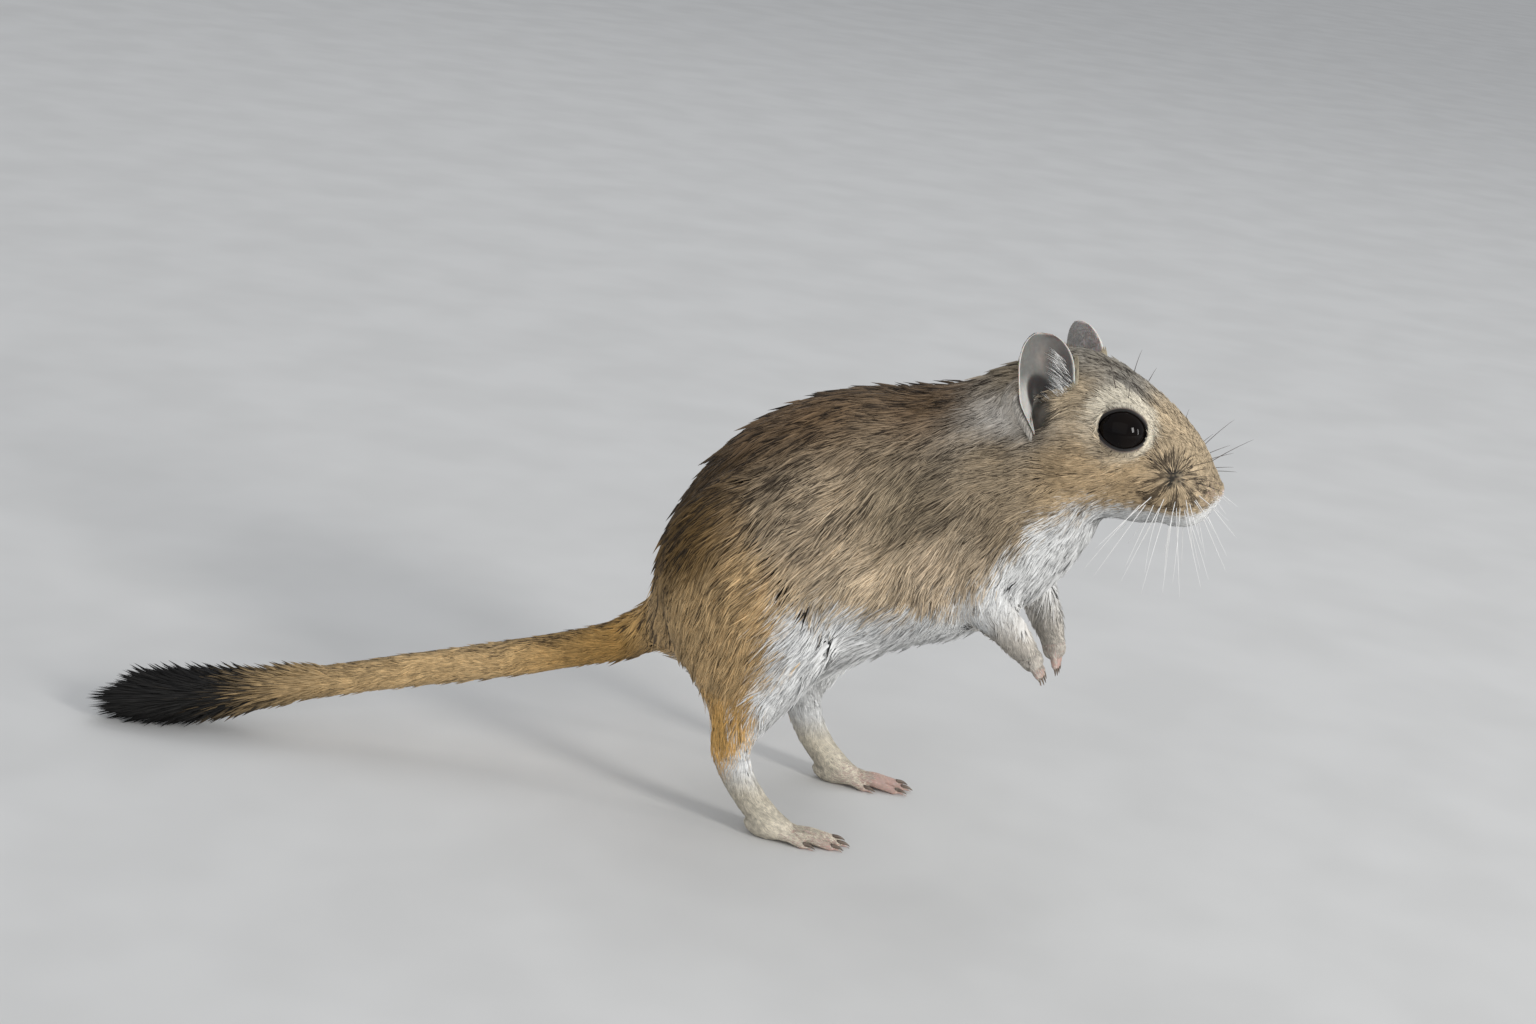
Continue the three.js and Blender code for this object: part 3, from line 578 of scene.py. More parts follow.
class Skin:
    """The bare skin: points, normals, triangles, and the coat that grows on it."""

    def __init__(self):
        shells = [remeshed(*main_flesh(), VOXEL)]
        names = flesh_names()
        shells += [remeshed(*node_body(name), FINE_VOXEL) for name in names if is_fine(name)]
        starts = np.cumsum([0] + [len(shell[0]) for shell in shells])
        self.points = np.concatenate([shell[0] for shell in shells])
        self.faces = np.concatenate([shell[1] + start for shell, start in zip(shells, starts)])
        self.edges = np.concatenate([shell[2] + start for shell, start in zip(shells, starts)])
        self.fine = np.arange(len(self.points)) >= starts[1]
        self.degree = np.bincount(self.edges.ravel(), minlength=len(self.points))
        bodies = [node_body(name) for name in names]
        labels = np.repeat(names, [len(faces) for _, faces in bodies])
        points, faces = merged(bodies)
        tree = BVHTree.FromPolygons(points.tolist(), faces.tolist())
        self.node = labels[[tree.find_nearest(point)[2] for point in self.points.tolist()]]
        self.tail = np.char.startswith(self.node, "tail") | (self.points[:, 0] < -80)
        small = np.isin(self.node, [name for name in names if is_fine(name)])
        self.bare = small & ~self.fine
        self.level()
        self.lie()
        self.sink()

    def mean(self, values):
        """Each point's mean over its neighbours."""
        a, b = self.edges.T
        total = np.stack([
            np.bincount(a, v[b], len(v)) + np.bincount(b, v[a], len(v))
            for v in values.T
        ], 1)
        return total / self.degree[:, None]

    def level(self):
        """Takes the facets out without shrinking the limbs."""
        share = np.where(self.fine, 0.15, 1.0)[:, None]
        share = np.where(np.char.startswith(self.node, "head")[:, None], 0.6, share)
        for _ in range(LEVEL_ROUNDS):
            for strength in LEVEL_STEPS:
                self.points += strength * share * (self.mean(self.points) - self.points)
        self.normals = point_normals(self.points, self.faces)

    def lie(self):
        """The way, length and depth of the hair at each point."""
        rows = [(place, unit(way), length, depth) for place, way, length, depth in LIE]
        places = np.array([row[0] for row in rows], float)
        values = np.array([(*row[1], row[2], row[3]) for row in rows], float)
        sign = np.where(self.points[:, 1] < 0, -1.0, 1.0)
        found = weighted(mirror_left(self.points), places, values)
        way = found[:, :3].copy()
        way[:, 1] *= sign * smoothstep(0, 3, np.abs(self.points[:, 1]))
        self.length, self.depth = found[:, 3].copy(), found[:, 4].copy()
        line = np.array(TAIL_LINE, float)
        ways = unit(np.gradient(line, axis=0))
        steps = np.arange(len(line))
        along = np.interp(-self.points[:, 0], -line[:, 0], steps)
        tail_way = np.stack([np.interp(along, steps, ways[:, k]) for k in range(3)], 1)
        share = smoothstep(-17, -25, self.points[:, 0]) * self.tail
        way = blend(way, tail_way, share)
        self.length = self.length * (1 - share) + TAIL_HAIR[0] * share
        self.depth = self.depth * (1 - share) + TAIL_HAIR[1] * share
        for _ in range(HAIR_ROUNDS):
            values = np.stack([self.length, self.depth], 1)
            self.length, self.depth = self.mean(values).T
        self.way = laid_flat(way, self.normals)

    def sink(self):
        """Lets the skin down under the coat, but not into the floor."""
        keep = np.ones(len(self.points))
        for word in SIDES:
            keep *= smoothstep(4.6, 7.0, distance(self.points, eye_centre(word)))
        grown = np.where(self.fine, 0.0, CLOSING)
        drop = grown + self.depth * keep
        for _ in range(DROP_ROUNDS):
            drop = self.mean(drop[:, None])[:, 0]
        self.points -= self.normals * drop[:, None]
        share = np.where(self.fine, 0.1, 0.4)[:, None]
        for _ in range(SINK_ROUNDS):
            self.points += share * (self.mean(self.points) - self.points)
        self.points[:, 2] = np.maximum(self.points[:, 2], FLOOR_GAP)
        self.normals = point_normals(self.points, self.faces)
        self.soft = self.normals
        for _ in range(SOFT_ROUNDS):
            self.soft = unit(self.mean(self.soft))
        self.tree = BVHTree.FromPolygons(self.points.tolist(), self.faces.tolist())

    def settle(self, points, heights):
        """The points moved to the given heights over the nearest skin, and its normals there."""
        out = np.empty_like(points)
        nearest = np.empty(len(points), int)
        for i, (point, height) in enumerate(zip(points.tolist(), heights.tolist())):
            place, normal, nearest[i], _ = self.tree.find_nearest(point)
            out[i] = place + normal * height
        return out, unit(self.soft[self.faces[nearest]].mean(1))


# Colours
def line_distance(points, line):
    """How far each point is from a line of places."""
    line = np.asarray(line, float)
    nearest = np.full(len(points), 1e9)
    for start, end in zip(line[:-1], line[1:]):
        run = end - start
        share = np.clip((points - start) @ run / (run @ run), 0, 1)
        nearest = np.minimum(nearest, distance(points - start, np.outer(share, run)))
    return nearest


def pale_share(points, normals, jitter):
    """How far a place belongs to the pale underside, 0 to 1."""
    x, y, z = points.T
    below = np.interp(x, PALE_EDGE_X, PALE_EDGE_Z) - z
    ahead = x - np.interp(z, LEG_EDGE_Z, LEG_EDGE_X)
    fine = smoothstep(72, 60, x) * 0.75 + 0.25
    ragged = ((noise(points, 3.2, 21) - 0.5) * 4.0 + jitter * 3.2) * fine
    edge = np.minimum(below, ahead) + ragged
    share = smoothstep(-2.2 * fine, 2.2 * fine, edge)
    inner = smoothstep(0.25, 0.7, -normals[:, 1] * np.sign(y)) * (z < 40) * (x < 22)
    under = smoothstep(0.3, 0.8, -normals[:, 2]) * smoothstep(-12, -4, x) * (z < 72)
    foot = smoothstep(13, 9, z + jitter * 2) * (x > -2)
    tail = smoothstep(-16, -20, x)
    return np.maximum.reduce([share, inner, under, foot]) * (1 - tail)


def coat_colours(points, normals, jitter=0.0):
    """The hair's colour and the share of dark tips at each place, with painted shade on the rump,
    round the ear's hole, behind the nostril, in the ear's crease and along the mouth. The jitter
    makes the edges of the markings ragged."""
    places = np.array([row[0] for row in TINTS], float)
    values = np.array([(*row[1], row[2]) for row in TINTS], float)
    found = weighted(mirror_left(points), places, values)
    colour = found[:, :3] * (0.86 + 0.28 * noise(points, 7.0, 5)[:, None])
    pale = pale_share(points, normals, jitter)
    foot = smoothstep(15, 8, points[:, 2])
    paw = smoothstep(57, 45, points[:, 2]) * smoothstep(44, 47, points[:, 0])
    pale_tone = blend(blend(np.array(PALE), FOOT, foot), PAW, paw)
    greyed = (0.84 + 0.18 * noise(points, 5.0, 6))[:, None]
    colour = blend(colour, pale_tone * greyed, pale)
    dark = found[:, 3] * (1 - pale)
    for word, side in SIDES.items():
        ring = eye_ring(points, word, side, jitter)
        colour = blend(colour, CREAM, ring)
        dark = dark * (1 - ring)

    unposed = mirror_left(posed_back(points))
    # Painted shade: the hair darkened round the ear's hole
    hole = np.linalg.norm((unposed - EAR_HOLE) / EAR_HOLE_RADII, axis=1)
    colour = colour * (1 - 0.75 * smoothstep(1.35, 0.9, hole)[:, None])
    # Painted shade behind the nostril, in the ear's crease and along the mouth, as dark tips
    dark = np.maximum.reduce([
        dark,
        pad_rays(unposed),
        0.75 * smoothstep(2.2, 0.6, distance(unposed, NOSTRIL_SHADE)),
        0.85 * smoothstep(1.3, 0.3, line_distance(unposed, EAR_CREASE_SHADE)),
        0.8 * smoothstep(0.6, 0.15, line_distance(unposed, MOUTH_SHADE_LINE)),
    ])
    return tail_coloured(points, colour, dark)


def eye_ring(points, word, side, jitter):
    """How far each place belongs to the pale ring round the eye, 0 to 1."""
    place = points - eye_centre(word)
    aim = unit(posed(sided(EYE_AIM, side), True))
    near = distance(place, np.outer(place @ aim, aim))
    outer = place @ aim > 0
    above = place[:, 2] * 0.8 + place[:, 0] * 0.6
    ring = smoothstep(6.6, 5.0, near + jitter * 0.8 - 1.3 * smoothstep(0, 4, above)) * outer
    return ring * (0.22 + 0.6 * smoothstep(-3, 3, above))


def tail_coloured(points, colour, dark):
    """The colours and dark shares with the tail's buff, its darker top and its black end."""
    x = points[:, 0]
    tail = smoothstep(-15, -23, x)
    buff = blend(np.array(TAIL_ROOT), TAIL_BUFF, smoothstep(-24, -50, x))
    colour = blend(colour, buff, tail)
    colour = blend(colour, np.array(BLACK) * 1.5, smoothstep(-90, -98, x))
    top = smoothstep(0.6, 2.6, points[:, 2] - tail_middle(x)[:, 2])
    tail_dark = np.maximum(0.05 + 0.32 * top, smoothstep(-82, -97, x))
    return colour, dark * (1 - tail) + tail_dark * tail


def pad_rays(unposed):
    """Dark streaks that spread from the middle of the whisker pad."""
    away = unposed - WHISKER_PAD
    reach = np.linalg.norm(away, axis=1)
    angle = np.arctan2(away[:, 2], away[:, 0])
    rays = noise(np.stack([np.cos(angle) * 5.5, np.sin(angle) * 5.5, reach * 0.3], 1), 1.0, 17)
    downward = smoothstep(1.0, -2.0, away[:, 2])
    extent = smoothstep(4.4 + 3.4 * downward, 2.2 + 3.0 * downward, reach)
    return np.maximum(smoothstep(0.42, 0.5, rays) * extent, smoothstep(1.5, 0.9, reach))


def skin_colours(skin):
    """The hair's colours, dimmed as painted shade under the coat, and pink where no hair hides the
    skin.
    """
    colour, dark = coat_colours(skin.points, skin.normals)
    # The factor 0.62 is painted shade on the skin under the coat
    colour = colour * (1 - 0.92 * dark[:, None]) * 0.62
    return blend(colour, np.array(PINK) * 0.8, smoothstep(1.3, 0.85, skin.length) * ~skin.bare)


# Materials
def node_material(name, roughness, specular=0.35, sheen=0.0, subsurface=0.0):
    """A material of even finish, and its shader."""
    material = bpy.data.materials.new(name)
    material.use_nodes = True
    shader = material.node_tree.nodes["Principled BSDF"]
    shader.inputs["Roughness"].default_value = roughness
    shader.inputs["Specular IOR Level"].default_value = specular
    shader.inputs["Sheen Weight"].default_value = sheen
    shader.inputs["Subsurface Weight"].default_value = subsurface
    shader.inputs["Subsurface Scale"].default_value = 1.5 * MM
    return material, shader


def noise_over(tree, grain):
    """A noise over the piece's own place."""
    place = tree.nodes.new("ShaderNodeTexCoord")
    fine = tree.nodes.new("ShaderNodeTexNoise")
    fine.inputs["Scale"].default_value = grain
    tree.links.new(place.outputs["Object"], fine.inputs["Vector"])
    return fine


def painted_material(name, grain, depth, roughness, **finish):
    """Colour from the piece's own coat colours, varied by a fine noise that also lifts it."""
    material, shader = node_material(name, roughness, **finish)
    tree = material.node_tree
    paint = tree.nodes.new("ShaderNodeVertexColor")
    paint.layer_name = "coat"
    fine = noise_over(tree, grain)
    fine.inputs["Detail"].default_value = 4
    shade = tree.nodes.new("ShaderNodeMapRange")
    shade.inputs["To Min"].default_value = 0.72
    shade.inputs["To Max"].default_value = 1.28
    mix = tree.nodes.new("ShaderNodeMix")
    mix.data_type = "RGBA"
    mix.blend_type = "MULTIPLY"
    mix.inputs["Factor"].default_value = 1
    bump = tree.nodes.new("ShaderNodeBump")
    bump.inputs["Strength"].default_value = 0.6
    bump.inputs["Distance"].default_value = depth * MM
    tree.links.new(fine.outputs["Fac"], shade.inputs["Value"])
    tree.links.new(paint.outputs["Color"], mix.inputs["A"])
    tree.links.new(shade.outputs["Result"], mix.inputs["B"])
    tree.links.new(mix.outputs["Result"], shader.inputs["Base Color"])
    tree.links.new(fine.outputs["Fac"], bump.inputs["Height"])
    tree.links.new(bump.outputs["Normal"], shader.inputs["Normal"])
    return material


def plain_material(name, colour, other, grain, roughness, **finish):
    """Two colours mixed by a noise."""
    material, shader = node_material(name, roughness, **finish)
    tree = material.node_tree
    ramp = tree.nodes.new("ShaderNodeValToRGB")
    for element, tone, position in zip(ramp.color_ramp.elements, (colour, other), (0.35, 0.65)):
        element.color = (*tone, 1)
        element.position = position
    tree.links.new(noise_over(tree, grain).outputs["Fac"], ramp.inputs["Fac"])
    tree.links.new(ramp.outputs["Color"], shader.inputs["Base Color"])
    return material


# Tufts
class Tufts:
    """Many thin closed blades, each with a root, two points abreast at its middle and a tip."""

    FACES = np.array([(0, 2, 1), (3, 1, 2), (0, 1, 3), (0, 3, 2)])
    # The side of each blade's patch on the unwrap, and how low its points may lie
    PATCH = 0.003
    LOWEST = 0.05

    def __init__(self):
        self.parts = []

    def add(self, root, middle, tip, width, outward, colours, places):
        """Adds blades. outward and colours are for root, middle and tip, and places are the
        roots' spots on the unwrap."""
        low, mid, high = outward
        across = unit(np.cross(unit(tip - root), mid))
        rise = ((middle - (root + tip) / 2) * mid).sum(1)
        across *= np.where(rise < 0, -1.0, 1.0)[:, None]
        half = (width / 2)[:, None]
        points = np.stack([root, middle - across * half, middle + across * half, tip], 1)
        normals = np.stack([low, unit(mid - across * 0.7), unit(mid + across * 0.7), high], 1)
        paint = np.stack([colours[0], colours[1], colours[1], colours[2]], 1)
        self.parts.append((points, normals, paint, places))

    def mesh(self, name):
        """All blades as one mesh, with their colours, unwrap and normals."""
        points, normals, paint, places = (np.concatenate(part) for part in zip(*self.parts))
        count = len(points)
        points[:, :, 2] = np.maximum(points[:, :, 2], self.LOWEST)
        faces = (self.FACES[None] + (np.arange(count) * 4)[:, None, None]).reshape(-1, 3)
        mesh = raw_mesh(name, points.reshape(-1, 3), faces)
        colour_points(mesh, paint.reshape(-1, 3))
        spread = np.array([(0, -0.5), (-0.5, 0), (0.5, 0), (0, 0.5)]) * self.PATCH
        uv = places[:, None, :] * (1 - self.PATCH) + self.PATCH / 2 + spread[None]
        layer = mesh.uv_layers.new(name="OFBake")
        layer.data.foreach_set("uv", uv.reshape(-1, 2)[faces.ravel()].astype(np.float32).ravel())
        mesh.shade_smooth()
        mesh.normals_split_custom_set_from_vertices(normals.reshape(-1, 3).tolist())
        return mesh


# What each coat piece is called, and the nodes it grows on. Forward of FACE_START the head
# belongs to the face, and behind it to the crown.
FACE_START = 62
COATS = {
    "coat_face": ("head", "nose", "lower_jaw"),
    "coat_crown": ("head", "lower_jaw"),
    "coat_neck": ("neck",),
    "coat_chest": ("chest",),
    "coat_belly": ("belly",),
    "coat_rump": ("rump",),
    "coat_leg_left": ("thigh_left", "shank_left", "hind_foot_left"),
    "coat_leg_right": ("thigh_right", "shank_right", "hind_foot_right"),
    "coat_arm_left": ("arm_left", "fore_paw_left"),
    "coat_arm_right": ("arm_right", "fore_paw_right"),
    "coat_tail": ("tail_base", "tail_middle", "tail_end"),
}


def hair_width(length):
    """How wide a tuft of this length is."""
    return 0.075 + 0.023 * length


def unwrapped(points, anchor):
    """Each point's spot on a cylinder round the long axis of the skin it grows on, 0 to 1."""
    middle = anchor.mean(0)
    axes = np.linalg.svd(anchor[::7] - middle, full_matrices=False)[2]
    along = (anchor - middle) @ axes[0]
    place = points - middle
    angle = np.arctan2(place @ axes[1], place @ axes[2]) / math.tau + 0.5
    run = (place @ axes[0] - along.min()) / (along.max() - along.min())
    return np.clip(np.stack([angle, run], 1), 0, 1)


def wanted_tufts(skin, faces):
    """How many tufts each triangle of the skin should bear."""
    corners = skin.points[faces]
    across = np.cross(corners[:, 1] - corners[:, 0], corners[:, 2] - corners[:, 0])
    area = np.linalg.norm(across, axis=1) / 2
    length = skin.length[faces].mean(1)
    cover = COVER * (0.45 + 0.55 * smoothstep(0.6, 3.2, length))
    wanted = area * cover / (length * hair_width(length))
    # Short hair thins out, and sooner on the legs and paws. The soles have none.
    height = corners[:, :, 2].mean(1)
    low = height < 50
    wanted *= (height > 0.4) * smoothstep(0.35 + 0.25 * low, 0.95 + 0.3 * low, length)
    return wanted * ~skin.bare[faces[:, 0]]


def rooted(skin, chosen, draw):
    """Roots spread over the chosen points' skin, and the skin's own values at each."""
    faces = skin.faces[chosen[skin.faces[:, 0]]]
    total = np.cumsum(wanted_tufts(skin, faces))
    count = int(total[-1])
    picked = faces[np.searchsorted(total, draw.rand(count) * total[-1])]
    u, v = draw.rand(2, count)
    flip = u + v > 1
    u[flip], v[flip] = 1 - u[flip], 1 - v[flip]
    share = np.stack([1 - u - v, u, v], 1)[:, :, None]
    roots = (skin.points[picked] * share).sum(1)
    normals = unit((skin.normals[picked] * share).sum(1))
    ways = unit((skin.way[picked] * share).sum(1))
    length = (skin.length[picked] * share[:, :, 0]).sum(1)
    depth = (skin.depth[picked] * share[:, :, 0]).sum(1)
    free = clear_of_eyes_and_ears(roots)
    return tuple(part[free] for part in (roots, normals, ways, length, depth))


def streaks(roots, ways):
    """Noise drawn out along the lie of the hair, a fine one and a broad one, 0 to 1."""
    steps = np.linspace(-3, 3, 5)
    fine = sum(noise(roots + ways * step, 0.6, 9) for step in steps) / len(steps)
    broad = sum(noise(roots + ways * step * 1.5, 1.7, 8) for step in steps) / len(steps)
    return np.clip((0.72 * fine + 0.28 * broad - 0.5) * 3.0 + 0.5, 0, 1)


def hair_tones(roots, normals, ways, draw):
    """Each tuft's colours at its root, middle and tip. Some are ticked with a dark tip, and
    some of those are dark to the middle."""
    count = len(roots)
    colour, dark = coat_colours(roots, normals, draw.normal(0, 0.5, count))
    streak = streaks(roots, ways)
    # The dark share also carries the painted shade from coat_colours into the dark tips
    chance = dark * (0.1 + 1.8 * smoothstep(0.38, 0.75, streak)) + smoothstep(0.7, 0.85, dark)
    ticked = draw.rand(count) < chance
    evened = 1 - 0.55 * smoothstep(0.5, 0.75, colour.mean(1))
    shade = 0.97 + (0.68 * (1 - streak) + 0.46 * draw.rand(count) - 0.57) * evened
    middle = colour * shade[:, None]
    root = middle * 0.3 + np.array(UNDER) * 0.8 * colour.mean(1, keepdims=True)
    dark_tip = np.array(DARK) * (0.5 + 1.5 * draw.rand(count))[:, None]
    tip = np.where(ticked[:, None], dark_tip, middle * 1.12)
    heavy = (ticked & (draw.rand(count) < 0.2 + 0.6 * dark))[:, None]
    middle = np.where(heavy, middle * 0.25 + np.array(DARK) * 0.6, middle)
    return root, middle, tip


def grow_coat(skin, name, nodes, material, draw):
    """One piece of the coat, its tufts rooted on the skin of the named nodes."""
    ahead = skin.points[:, 0] >= FACE_START
    chosen = np.isin(skin.node, nodes) & {"coat_face": ahead, "coat_crown": ~ahead}.get(name, True)
    roots, normals, ways, length, depth = rooted(skin, chosen, draw)
    count = len(roots)
    length = length * (0.7 + 0.6 * draw.rand(count))
    ways, length = swirled(roots, normals, ways, length)

    # The hair waves sideways, each tuft bends and lifts a little, and a few guard hairs stand out
    curl = np.cross(normals, ways)
    wave = (noise(roots, 4.5, 31) - 0.5) * 0.8 + (noise(roots, 1.4, 32) - 0.5) * 0.5
    wave = wave + draw.normal(0, 0.09, count)
    ways = unit(ways + curl * wave[:, None])
    bent = ways + curl * draw.normal(0, 0.05, count)[:, None]
    lift = depth * (0.25 + 0.75 * draw.rand(count) ** 1.3)
    guard = draw.rand(count) > 0.97
    lift = lift + guard * depth * 0.9 * draw.rand(count)
    length = length * (1 + 0.3 * guard)
    middle, over_middle = skin.settle(roots + bent * (length * 0.45)[:, None], lift * 0.72)
    tip, over_tip = skin.settle(roots + ways * length[:, None], lift)
    root = roots - normals * 0.12

    # Blades that a fold of the skin bends sharply or turns over are left out
    bowed = distance(middle, (root + tip) / 2) > 0.22 * length
    turned = ((over_middle * normals).sum(1) < 0.3) | ((over_tip * normals).sum(1) < -0.1)
    whole = ~(bowed | turned)
    tones = tuple(tone[whole] for tone in hair_tones(roots, normals, ways, draw))
    width = hair_width(length) * (0.75 + 0.5 * draw.rand(count)) * (1 - 0.3 * guard)
    places = unwrapped(roots, skin.points[chosen])
    outward = tuple(part[whole] for part in (over_middle, over_middle, over_tip))
    tufts = Tufts()
    tufts.add(root[whole], middle[whole], tip[whole], width[whole], outward, tones, places[whole])
    place_piece(tufts.mesh(name), material, smooth=False)


def clear_of_eyes_and_ears(points):
    free = np.ones(len(points), bool)
    for word, side in SIDES.items():
        free &= distance(points, eye_centre(word)) > EYE_RADIUS + 0.25
        cup = (points - posed(sided(EAR_ROOT, side))) / EAR_ROOT_RADII
        free &= np.linalg.norm(cup, axis=1) > 1
    return free


def swirled(roots, normals, ways, length):
    """Turns the hair of the whisker pads out from their middles, and draws it longer there."""
    for side in SIDES.values():
        away = roots - posed(sided(WHISKER_PAD, side))
        share = smoothstep(PAD_REACH, 3.0, np.linalg.norm(away, axis=1))
        ways = unit(blend(ways, laid_flat(away, normals), share))
        length = length * (1 + 0.9 * share)
    return ways, length


# The tuft: how many hairs, from where and how far their roots run along the body, which way
# they point, and how far back they may reach
TUFT_HAIRS = 7600
TUFT_START = -76
TUFT_RUN = 32
TUFT_WAY = (-0.9, -0.36, -0.12)
TUFT_END = -119


def build_tuft(material, draw):
    """The long dark hair at the end of the tail."""
    count = TUFT_HAIRS
    along = draw.rand(count) ** 0.75
    start = TUFT_START - TUFT_RUN * along
    way = unit(np.array(TUFT_WAY))
    side = unit(np.cross(way, UP))
    over = np.cross(side, way)
    angle = draw.rand(count) * math.tau
    out = np.outer(np.cos(angle), side) + np.outer(np.sin(angle), over)
    radius = np.interp(-start, (76, 96, 104, 108), (2.7, 2.2, 1.6, 0.8))
    root = tail_middle(start) + out * radius[:, None]
    clump = noise(np.stack([np.cos(angle) * 3, np.sin(angle) * 3, along * 7], 1), 1.0, 41)
    loose = draw.rand(count) ** 1.5
    full = 0.2 + 0.8 * np.sin(math.pi * (0.06 + 0.8 * along))
    spread = (0.05 + 0.66 * loose * (0.35 + 1.1 * clump)) * full
    length = (4.5 + 5.5 * along) * (0.7 + 0.5 * draw.rand(count)) * (1 - 0.35 * loose)
    way = unit(way + np.outer(clump - 0.5, side) * 0.3)
    tip = root + way * length[:, None] + out * (spread * length)[:, None]
    middle = root + way * (length * 0.5)[:, None] + out * (spread * length * 0.62)[:, None]
    tip[:, 0] = np.maximum(tip[:, 0], TUFT_END + 1.5 * draw.rand(count))
    black = smoothstep(-80, -92, root[:, 0] + draw.normal(0, 3.0, count))
    sooty = np.array(BLACK) * (0.6 + 1.4 * draw.rand(count))[:, None]
    colour = blend(np.array(TAIL_BUFF) * 0.8, sooty, black)
    width = 0.16 + 0.12 * draw.rand(count)
    places = np.stack([angle / math.tau, along], 1)
    tones = (colour * 0.8, colour, colour * 0.8)
    tufts = Tufts()
    tufts.add(root - out * 0.4, middle, tip, width, (out, out, out), tones, places)
    piece = place_piece(tufts.mesh("coat_tuft"), material, smooth=False)
    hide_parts("tail_tuft")


# Eyes
def eye_axes(side):
    """The eye's aim, the way between its corners, and the way across both."""
    aim = unit(posed(sided(EYE_AIM, side), True))
    along = posed(sided(EYE_ALONG, side), True)
    along = unit(along - aim * (along @ aim))
    over = np.cross(aim, along) * side
    return aim, along, over * np.sign(over[2])


def eye_ways(side, turn, angle):
    """Ways out of the eyeball at a turn round its aim and an angle from it, and ways on from
    there over its surface."""
    aim, along, over = eye_axes(side)
    spoke = np.outer(np.cos(turn), along) + np.outer(np.sin(turn), over)
    out = spoke * np.sin(angle)[:, None] + aim * np.cos(angle)[:, None]
    away = spoke * np.cos(angle)[:, None] - aim * np.sin(angle)[:, None]
    return out, away


def opening_angle(turn):
    """How far from the eye's aim the lids open at each turn round it."""
    power = 1.75
    along, across = EYE_OPENING
    reach = np.abs(np.cos(turn) / along) ** power + np.abs(np.sin(turn) / across) ** power
    return np.radians(reach ** (-1 / power))


def build_eye(word, side, material):
    """A smooth eyeball with a slightly bulging front."""
    centre = eye_centre(word)
    aim, along, over = eye_axes(side)
    points, faces = ball((0, 0, 0), (1, 1, 1), 46, 64)
    radius = EYE_RADIUS - 0.08 + 0.14 * smoothstep(0.55, 1.0, points[:, 2])
    points = centre + points * radius[:, None] @ np.stack([along, over, aim])
    mesh = raw_mesh(f"eyeball_{word}", points, turned_out(points - centre, faces))
    piece = place_piece(mesh, material)
    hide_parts(f"eye_{word}")


# The lids' section round the rim: degrees from the opening, height over the eyeball, colour
LID_RIM = (0.012, 0.01, 0.009)
LID_EDGE = (0.20, 0.16, 0.13)
LID_SKIN = (0.42, 0.37, 0.30)
LID_SECTION = [
    (0, -0.02, LID_RIM),
    (0.2, 0.2, LID_RIM),
    (3, 0.4, LID_RIM),
    (5.5, 0.45, LID_EDGE),
    (13, 0.4, LID_SKIN),
    (26, 0.0, LID_SKIN),
    (28, -0.6, LID_SKIN),
    (8, -0.3, LID_SKIN),
]
LID_HAIRS = 2600


def build_lids(word, side, material):
    """The pair of lids as one soft rim round the opening."""
    columns = 72
    turns = full_turn(columns)
    rings = []
    for degrees, height, _ in LID_SECTION:
        out, _ = eye_ways(side, turns, opening_angle(turns) + math.radians(degrees))
        rings.append(eye_centre(word) + out * (EYE_RADIUS + height))
    faces = grid_faces(len(rings), columns, looped=True)
    mesh = raw_mesh(f"lids_{word}", np.concatenate(rings), faces if side < 0 else faces[:, ::-1])
    colour_points(mesh, np.repeat([row[2] for row in LID_SECTION], columns, 0))
    place_piece(mesh, material)


def build_lid_hair(word, side, material, draw):
    """Short hair that spreads from the rims of the lids."""
    count = LID_HAIRS
    turn = draw.rand(count) * math.tau
    degrees = 3.6 + 24 * draw.rand(count)
    out, away = eye_ways(side, turn, opening_angle(turn) + np.radians(degrees))
    height = np.interp(degrees, (3, 5.5, 13, 26, 28), (0.4, 0.45, 0.4, 0.0, -0.1))
    root = eye_centre(word) + out * (EYE_RADIUS + height)[:, None]
    way = unit(away + np.outer(draw.normal(-0.45, 0.15, count), eye_axes(side)[1]))
    length = 0.9 + 0.7 * draw.rand(count)
    middle = root + way * (length * 0.5)[:, None] + out * 0.14
    tip = root + way * length[:, None] + out * (0.05 + 0.15 * draw.rand(count))[:, None]
    colour, dark = coat_colours(root, out, draw.normal(0, 0.5, count))
    colour = colour * (0.75 + 0.35 * draw.rand(count))[:, None]
    corner = smoothstep(0.9, 0.99, np.abs(np.cos(turn))) * smoothstep(16, 6, degrees)
    darkened = draw.rand(count) < np.maximum(dark * 0.5, corner * 0.8)
    colour = np.where(darkened[:, None], np.array(DARK) * 1.5, colour)
    width = 0.08 + 0.05 * draw.rand(count)
    places = np.stack([turn / math.tau, degrees / 28], 1)
    tones = (colour * 0.7, colour, colour * 1.1)
    tufts = Tufts()
    tufts.add(root - out * 0.08, middle, tip, width, (out, out, out), tones, places)
    place_piece(tufts.mesh(f"coat_lids_{word}"), material, smooth=False)


# Ears
# The left ear: its foot, which way it stands, which way its front edge lies, its height, and
# how deep it is cupped. Each side (1 left, -1 right) is moved forward and has its rim drawn in
# towards the tip by its own amount.
EAR = {
    "root": (50.3, 11.4, 84.6),
    "lean": (-0.16, 0.05, 1),
    "across": (0.78, -0.62, 0.05),
    "height": 17.0,
    "cup": 3.6,
    "forward": {1: 1.4, -1: 0},
    "closing": {1: 1.0, -1: 0.4},
}
EAR_ROWS = 56
EAR_COLUMNS = 44
FRINGE_HAIRS = 210

# Each edge's reach at the foot and at its widest, the heights between which it widens, and the
# height at which it starts to close
FRONT_EDGE = (1.6, 5.9, -0.1, 0.5, 0.60)
REAR_EDGE = (1.6, 4.7, -0.15, 0.35, 0.58)


